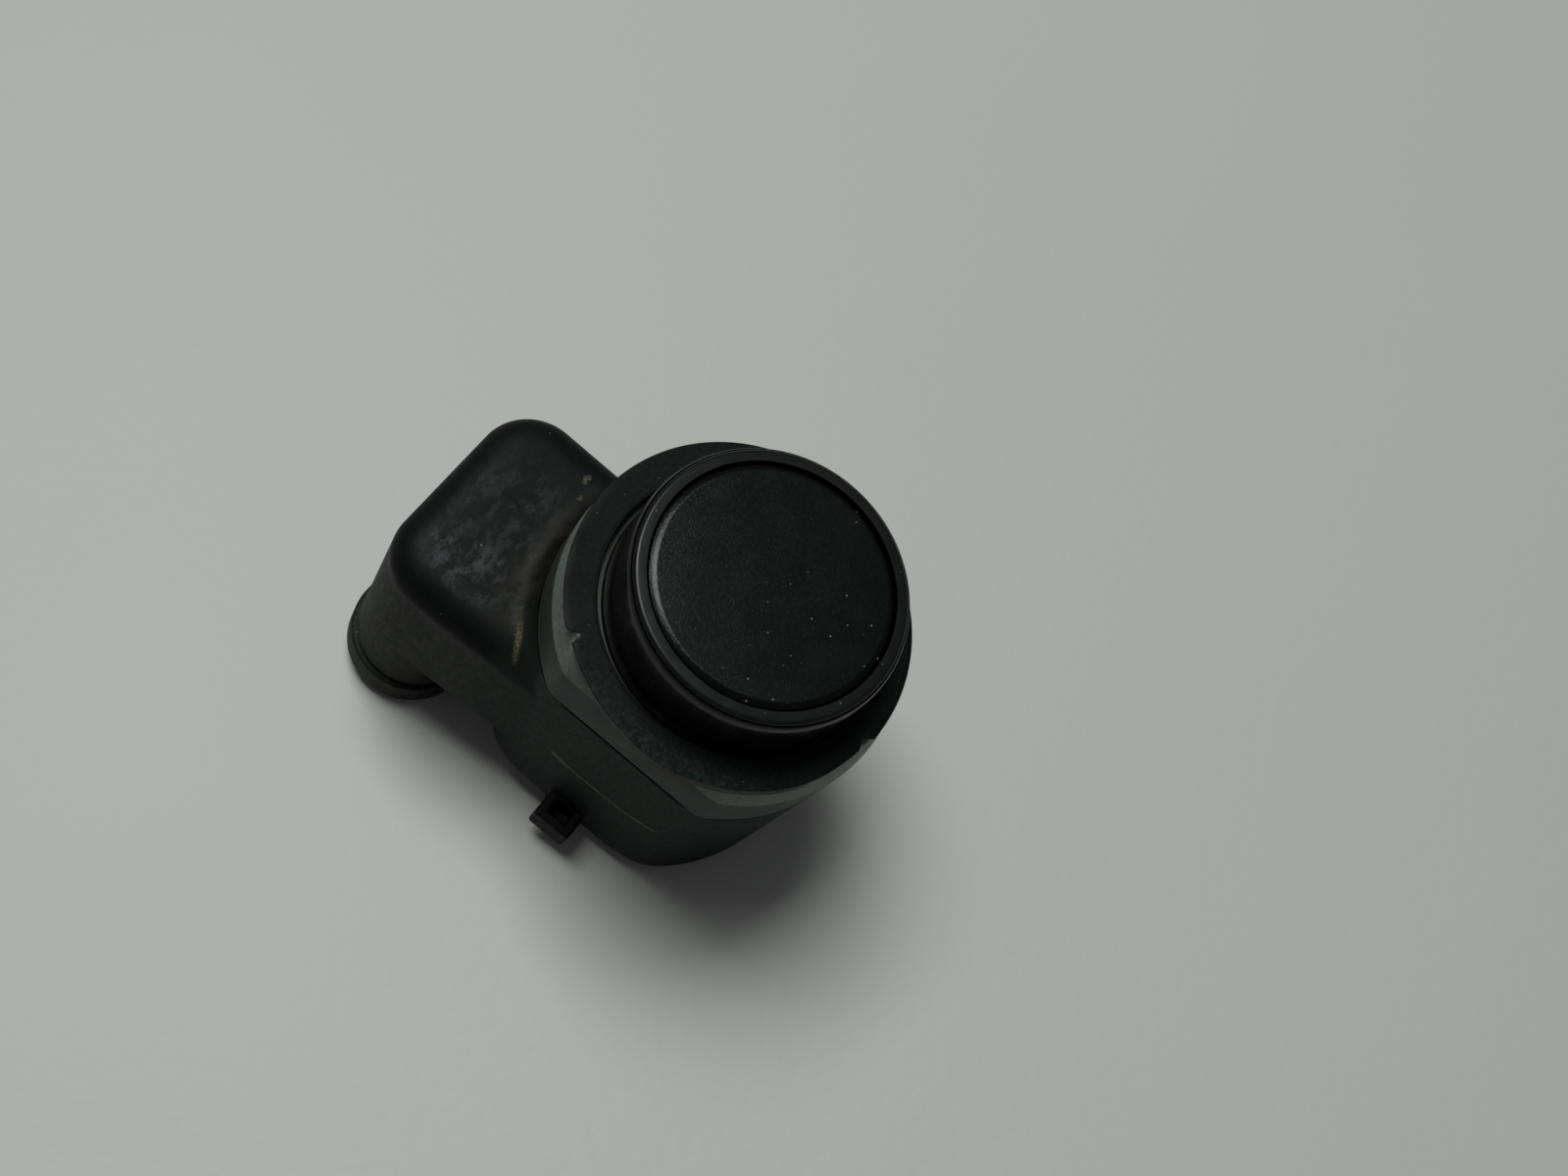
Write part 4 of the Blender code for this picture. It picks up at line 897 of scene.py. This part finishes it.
def paint_cap():
    """Glossy black neck with a painted brownish reflection on its left, and a grey collar: painted shade on
    its flats, a chamfer and top painted paler where they face up, partly painted light, a painted highlight
    along its top edge, and a worn seam.
    """
    p = Paint("cap_plastic_grey_black")
    cloud = p.noise(0.5, 5.0, 0.6)
    outer = p.ramp(p.squares(p.x, p.y), 103.0, 107.0)
    collar = p.math("MAXIMUM", p.ramp(p.z, -0.9, -0.8, 1.0, 0.0), outer)

    neck = p.mix(cloud, NECK_DARK, NECK_LIGHT)
    # Painted reflection: brownish streaks on the left side of the glossy neck
    reflection_streak = p.ramp(p.noise(2.4, 3.0, 0.6, p.stretched((1.0, 1.0, 0.12))), 0.50, 0.72)
    left = p.ramp(p.x, 0.0, -8.0)
    neck = p.over(neck, NECK_REFLECTION_STREAK, reflection_streak, p.both(left, 0.45))

    mottle = p.ramp(p.noise(3.0, 5.0, 0.7, p.stretched((1.0, 1.0, 1.6))), 0.30, 0.70)
    band = p.mix(mottle, BAND_DARK, BAND_LIGHT)
    # Painted shade: the band is darker where it faces front, on the cap's flats
    band = p.over(band, BAND_SHADE_ON_FLAT, p.facing(FRONT, 0.86, 0.96), 0.8)
    # Painted light, partly: the up-facing chamfer is painted much paler than the band of the same plastic,
    # and paler still towards the right
    chamfer = p.mix(mottle, CHAMFER_DARK, CHAMFER_LIGHT)
    chamfer = p.over(chamfer, CHAMFER_RIGHT, p.ramp(p.x, 1.0, 6.5), 0.35)
    grey = p.over(band, chamfer, p.facing(UP, 0.14, 0.22), collar)
    # Painted light, partly: the collar's up-facing top is painted pale grey
    grey = p.over(grey, COLLAR_TOP, p.facing(UP, 0.6, 0.9), outer)
    # Painted highlight: a bright line along the collar's top edge by the disc and on the key
    rim = p.both(p.ramp(p.z, -0.98, -0.90), p.facing(UP, 0.20, 0.30))
    rim = p.both(rim, p.both(outer, p.ramp(p.z, -0.50, -0.62)))
    grey = p.over(grey, COLLAR_RIM_HIGHLIGHT, rim, 0.8)
    grey = p.over(grey, COLLAR_DIRT, p.ramp(p.noise(3.2, 5.0, 0.7), 0.52, 0.72), 0.35)
    grey = p.over(grey, COLLAR_PITS, p.specks(1.4, 0.18, 0.70), 0.9)
    worn = p.both(p.ramp(p.z, -6.20, -6.26), p.ramp(p.noise(1.1, 4.0), 0.30, 0.60, 0.35, 1.0))
    grey = p.over(grey, COLLAR_WORN, worn, 0.65)
    grey = p.mix(p.ramp(p.z, -6.33, -6.36), grey, BLACK)

    colour = p.mix(collar, neck, grey)
    colour = p.over(colour, CAP_DUST, p.specks(1.8, 0.12, 0.76), 0.30)
    p.bump(p.noise(10.0, 4.0), 0.25, 0.02)
    rough = p.math("MULTIPLY_ADD", collar, 0.26, 0.20)
    rough = p.math("ADD", rough, p.ramp(cloud, 0.3, 0.7, -0.03, 0.06))
    return p.done(colour, rough, specular=0.20)


def paint_housing():
    """Greenish black barrel, and an arm with a blacker top that is scuffed and carries a painted sheen."""
    p = Paint("housing_plastic_worn")
    cloud = p.noise(0.30, 5.0, 0.6)
    fine = p.noise(2.2, 6.0, 0.68)
    barrel = p.mix(cloud, BARREL_DARK, BARREL_LIGHT)
    # Painted shade: the barrel darkens towards its back and towards its right, where it lies in shadow
    barrel = p.over(barrel, BARREL_LOWER_SHADE, p.ramp(p.z, -15.5, -22.0), 0.60)
    barrel = p.over(barrel, BARREL_RIGHT_SHADE, p.ramp(p.x, 2.0, 9.0), 0.40)
    barrel = p.over(barrel, BARREL_FINE, p.ramp(fine, 0.55, 0.75), 0.25)

    side = p.mix(p.noise(1.2, 5.0, 0.7), ARM_SIDE_DARK, ARM_SIDE_LIGHT)
    hatch = p.noise(3.0, 4.0, 0.6, p.stretched((1.0, 1.0, 0.22), (0.0, 0.65, 0.0)))
    side = p.over(side, ARM_SIDE_HATCH, p.ramp(hatch, 0.45, 0.70), 0.40)
    black = p.mix(cloud, ARM_TOP_DARK, ARM_TOP_LIGHT)
    ragged = p.math("MULTIPLY_ADD", p.noise(1.4, 4.0), 0.5, -0.25)
    top = p.ramp(p.math("ADD", p.z, ragged), -11.25, -10.75)
    arm_zone = p.ramp(p.x, -9.2, -11.2)
    body = p.mix(arm_zone, barrel, p.mix(top, side, black))

    crown = p.facing(UP, 0.86, 0.985)
    scuff = p.noise(1.2, 8.0, 0.72, p.stretched((1.0, 0.6, 1.0), (0.0, 0.0, 0.9)))
    # Scuffs with a painted sheen: a bluish-grey patch on the crown stands in for the lamp's highlight,
    # strongest at its lower corner
    patch = p.math("MAXIMUM", p.both(p.blob(SCUFF_AND_SHEEN_FIELD, 0.9), 0.45), p.blob(SCUFF_AND_SHEEN_CORNER, 0.9))
    scuff_and_sheen = p.both(p.ramp(scuff, 0.44, 0.60), p.both(crown, patch))
    body = p.over(body, ARM_SCUFF_AND_SHEEN, scuff_and_sheen, 0.90)
    wide = p.both(p.ramp(p.noise(0.8, 6.0, 0.65), 0.42, 0.70), p.both(crown, arm_zone))
    body = p.over(body, ARM_HAZE, wide, 0.40)
    cove = p.both(p.blob(COVE_DIRT, 0.7), p.ramp(p.noise(0.9, 5.0), 0.35, 0.6))
    body = p.over(body, ARM_COVE_DIRT, cove, 0.85)
    gouge = p.both(p.stroke(GOUGE_XY, "xy", 0.16, 0.3), crown)
    body = p.over(body, ARM_GOUGE, gouge, 0.9)
    for mark in PALE_MARKS:
        body = p.over(body, ARM_PALE_MARK, p.blob(mark, 0.95), p.ramp(p.noise(3.5, 4.0, 0.7), 0.38, 0.60))
    # Painted highlight, partly a worn edge: a yellowish glint along the cove's outer edge, broken into
    # specks
    line = p.both(p.ramp(p.z, -12.5, -10.5), p.ramp(p.noise(9.0, 3.0, 0.7), 0.40, 0.62, 0.06, 1.0))
    line = p.both(line, p.both(p.ramp(p.y, -6.6, -7.8), p.ramp(p.y, -9.6, -8.2)))
    line = p.both(line, p.stroke(GLINT_AND_WEAR_XY, "xy", 0.27, 0.35))
    body = p.over(body, ARM_GLINT_AND_WEAR, line, 0.85)

    on_flat = p.facing(FRONT, 0.7, 0.9)
    scratch = p.both(p.stroke(SCRATCH_XZ, "xz", 0.22, 0.20), on_flat)
    scratch = p.both(scratch, p.ramp(p.noise(2.6, 3.0), 0.3, 0.55, 0.45, 1.0))
    body = p.over(body, FLAT_SCRATCH, scratch, 0.85)
    body = p.over(body, FLAT_NICK, p.both(p.stroke(NICK_XZ, "xz", 0.42), on_flat), 0.50)

    body = p.over(body, TAB_SHADE, p.blob(TAB_ALL, 0.35), 0.98)
    crumbs = p.both(p.specks(1.9, 0.30, 0.55), p.blob(TAB_INSIDE, 0.5))
    body = p.over(body, TAB_CRUMBS, crumbs, 0.6)
    body = p.over(body, HOUSING_DUST, p.specks(1.1, 0.10, 0.86), 0.45)
    seam = p.both(p.ramp(p.z, -6.82, -6.77), p.ramp(p.x, -11.9, -11.8))
    body = p.mix(seam, body, BLACK)

    rough = p.math("MULTIPLY_ADD", p.both(top, arm_zone), -0.06, 0.56)
    rough = p.math("ADD", rough, p.both(scuff_and_sheen, -0.06))
    rough = p.math("ADD", rough, p.ramp(fine, 0.35, 0.7, -0.04, 0.08))
    p.bump(fine, 0.22, 0.035)
    p.bump(p.noise(9.0, 4.0), 0.22, 0.02)
    p.bump(scratch, -0.6, 0.03)
    p.bump(p.both(scuff, scuff_and_sheen), 0.5, 0.05)
    return p.done(body, rough, specular=0.11)


def paint_plain(name, dark, light, rough, metallic=0.0, scale=3.0, grain=0.02):
    """A clouded colour with a fine bump, for the pieces that only show when taken apart."""
    p = Paint(name)
    cloud = p.noise(scale, 5.0, 0.6)
    p.bump(p.noise(scale * 4, 3.0), 0.3, grain)
    return p.done(p.mix(cloud, dark, light), p.ramp(cloud, 0.3, 0.7, rough - 0.05, rough + 0.07), metallic)


def paint_board():
    p = Paint("board_green")
    weave = p.tree.nodes.new("ShaderNodeTexBrick")
    weave.inputs["Scale"].default_value = 2.4
    weave.inputs["Mortar Size"].default_value = 0.015
    p.tree.links.new(p.place, weave.inputs["Vector"])
    colour = p.mix(p.noise(2.0), (0.012, 0.11, 0.045), (0.02, 0.17, 0.07))
    colour = p.over(colour, (0.05, 0.24, 0.10), weave.outputs["Fac"], 0.5)
    p.bump(weave.outputs["Fac"], 0.2, 0.03)
    return p.done(colour, 0.35)


def paint_winding():
    p = Paint("winding_copper")
    wave = p.tree.nodes.new("ShaderNodeTexWave")
    wave.bands_direction = "Z"
    wave.inputs["Scale"].default_value = 1.9
    wave.inputs["Distortion"].default_value = 0.3
    p.tree.links.new(p.place, wave.inputs["Vector"])
    p.bump(wave.outputs["Fac"], 0.8, 0.08)
    return p.done(p.mix(wave.outputs["Fac"], (0.22, 0.07, 0.03), (0.62, 0.25, 0.10)), 0.32, metallic=1.0)


# Paints of the inner nodes: a function, or what paint_plain takes
INNER_PAINTS = {
    "piezo_disc": ("ceramic_cream", (0.62, 0.57, 0.44), (0.76, 0.71, 0.57), 0.55),
    "piezo_lead_": ("lead_copper", (0.50, 0.20, 0.09), (0.68, 0.30, 0.14), 0.30, 1.0),
    "damping_foam": ("foam_grey", (0.05, 0.05, 0.05), (0.14, 0.14, 0.14), 0.90, 0.0, 4.0, 0.2),
    "cup_backfill": ("silicone_pale", (0.46, 0.46, 0.43), (0.58, 0.58, 0.55), 0.55),
    "pin_carrier": ("carrier_black", (0.02, 0.02, 0.02), (0.045, 0.045, 0.045), 0.45),
    "transducer_pin_": ("pin_tinned", (0.58, 0.55, 0.46), (0.76, 0.73, 0.64), 0.28, 1.0),
    "circuit_board": paint_board,
    "control_chip": ("chip_black", (0.010, 0.010, 0.010), (0.022, 0.022, 0.022), 0.45),
    "transformer_core": ("ferrite_dark", (0.03, 0.03, 0.03), (0.07, 0.07, 0.07), 0.60, 0.0, 5.0),
    "transformer_winding": paint_winding,
    "capacitor_": ("capacitor_coat", (0.24, 0.16, 0.07), (0.36, 0.25, 0.12), 0.40),
    "connector_pin_": ("terminal_tin", (0.60, 0.58, 0.53), (0.78, 0.76, 0.70), 0.26, 1.0),
    "rear_potting": ("potting_black", (0.012, 0.012, 0.012), (0.030, 0.030, 0.030), 0.28, 0.0, 0.8),
}


def dress_inner_nodes(frame, shown):
    """Paint every carried-over node that no visible piece replaces."""
    for prefix, recipe in INNER_PAINTS.items():
        material = recipe() if callable(recipe) else paint_plain(*recipe)
        for name, node in frame["nodes"].items():
            if name.startswith(prefix) and name not in shown:
                node.data.materials.clear()
                node.data.materials.append(material)


def make_table():
    """A pale table top, tilted in the part's frame so that the sensor lies on it as it fell."""
    n = Vector((-sin(radians(FLOOR_TILT)), 0.0, cos(radians(FLOOR_TILT))))
    u = Vector((n.z, 0.0, -n.x))
    v = Vector((0.0, 1.0, 0.0))
    shares = [2 * k / FLOOR_STEPS - 1 for k in range(FLOOR_STEPS + 1)]
    points = []
    for i in shares:
        for j in shares:
            points.append((Vector(FLOOR_POINT) + u * (FLOOR_HALF * i) + v * (FLOOR_HALF * j)) * MM)
    faces = []
    for i in range(FLOOR_STEPS):
        for j in range(FLOOR_STEPS):
            a = i * (FLOOR_STEPS + 1) + j
            b = a + FLOOR_STEPS + 1
            faces.append((a, b, b + 1, a + 1))
    mesh = bpy.data.meshes.new("table_top")
    mesh.from_pydata(points, [], faces)
    floor = bpy.data.objects.new("table_top", mesh)
    bpy.context.scene.collection.objects.link(floor)
    p = Paint("table_pale_grey")
    p.bump(p.noise(0.9, 2.0, 0.5), 0.25, 0.12)
    mesh.materials.append(p.done(p.mix(p.noise(0.02, 3.0), TABLE_DARK, TABLE_LIGHT), 0.5, specular=0.3))


def make_light():
    """Weak even surroundings and one broad soft lamp overhead."""
    world = bpy.data.worlds.new("studio")
    bpy.context.scene.world = world
    world.use_nodes = True
    back = world.node_tree.nodes["Background"]
    back.inputs["Color"].default_value = WORLD_COLOUR
    back.inputs["Strength"].default_value = WORLD_STRENGTH
    data = bpy.data.lights.new("overhead", "AREA")
    data.shape = "RECTANGLE"
    data.size = LAMP_SIZE
    data.size_y = LAMP_SIZE
    data.energy = LAMP_POWER
    data.color = LAMP_COLOUR
    lamp = bpy.data.objects.new("overhead", data)
    way = Vector(LAMP_FROM).normalized()
    lamp.location = way * LAMP_DISTANCE
    lamp.rotation_mode = "QUATERNION"
    lamp.rotation_quaternion = way.to_track_quat("Z", "Y")
    bpy.context.scene.collection.objects.link(lamp)


def make_camera():
    turn = Matrix(CAMERA_TO_PART)
    data = bpy.data.cameras.new("camera")
    data.sensor_width = CAMERA_SENSOR
    data.lens = CAMERA_LENS
    data.clip_start = CAMERA_CLIP[0]
    data.clip_end = CAMERA_CLIP[1]
    camera = bpy.data.objects.new("camera", data)
    place = -(turn.transposed() @ Vector(CAMERA_SHIFT))
    place.z += CAMERA_ZERO_Z
    camera.matrix_world = Matrix.Translation(place * MM) @ turn.transposed().to_4x4()
    bpy.context.scene.collection.objects.link(camera)
    bpy.context.scene.camera = camera


# Each visible node with its finer mesh and its paint
DRESSED = {
    "housing": (make_housing, paint_housing),
    "front_cap": (make_cap, paint_cap),
    "seal_disc": (make_disc, paint_disc),
    "decoupling_ring": (make_ring, paint_ring),
    "transducer_cup": (make_cup, paint_membrane),
}

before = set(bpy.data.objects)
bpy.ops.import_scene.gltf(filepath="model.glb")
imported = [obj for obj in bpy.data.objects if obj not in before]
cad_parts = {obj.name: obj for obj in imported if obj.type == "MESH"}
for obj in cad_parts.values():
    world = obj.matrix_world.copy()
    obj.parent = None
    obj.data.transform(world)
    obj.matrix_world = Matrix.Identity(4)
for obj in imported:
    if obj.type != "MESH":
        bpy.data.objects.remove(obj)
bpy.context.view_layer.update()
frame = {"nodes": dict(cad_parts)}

pieces = {}
for node_name, (make, paint) in DRESSED.items():
    pieces[node_name] = make()
    pieces[node_name].data.materials.append(paint())
for node_name, piece in pieces.items():
    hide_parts(node_name)
dress_inner_nodes(frame, pieces)

make_table()
make_light()
make_camera()
bpy.context.scene.view_settings.view_transform = "Standard"
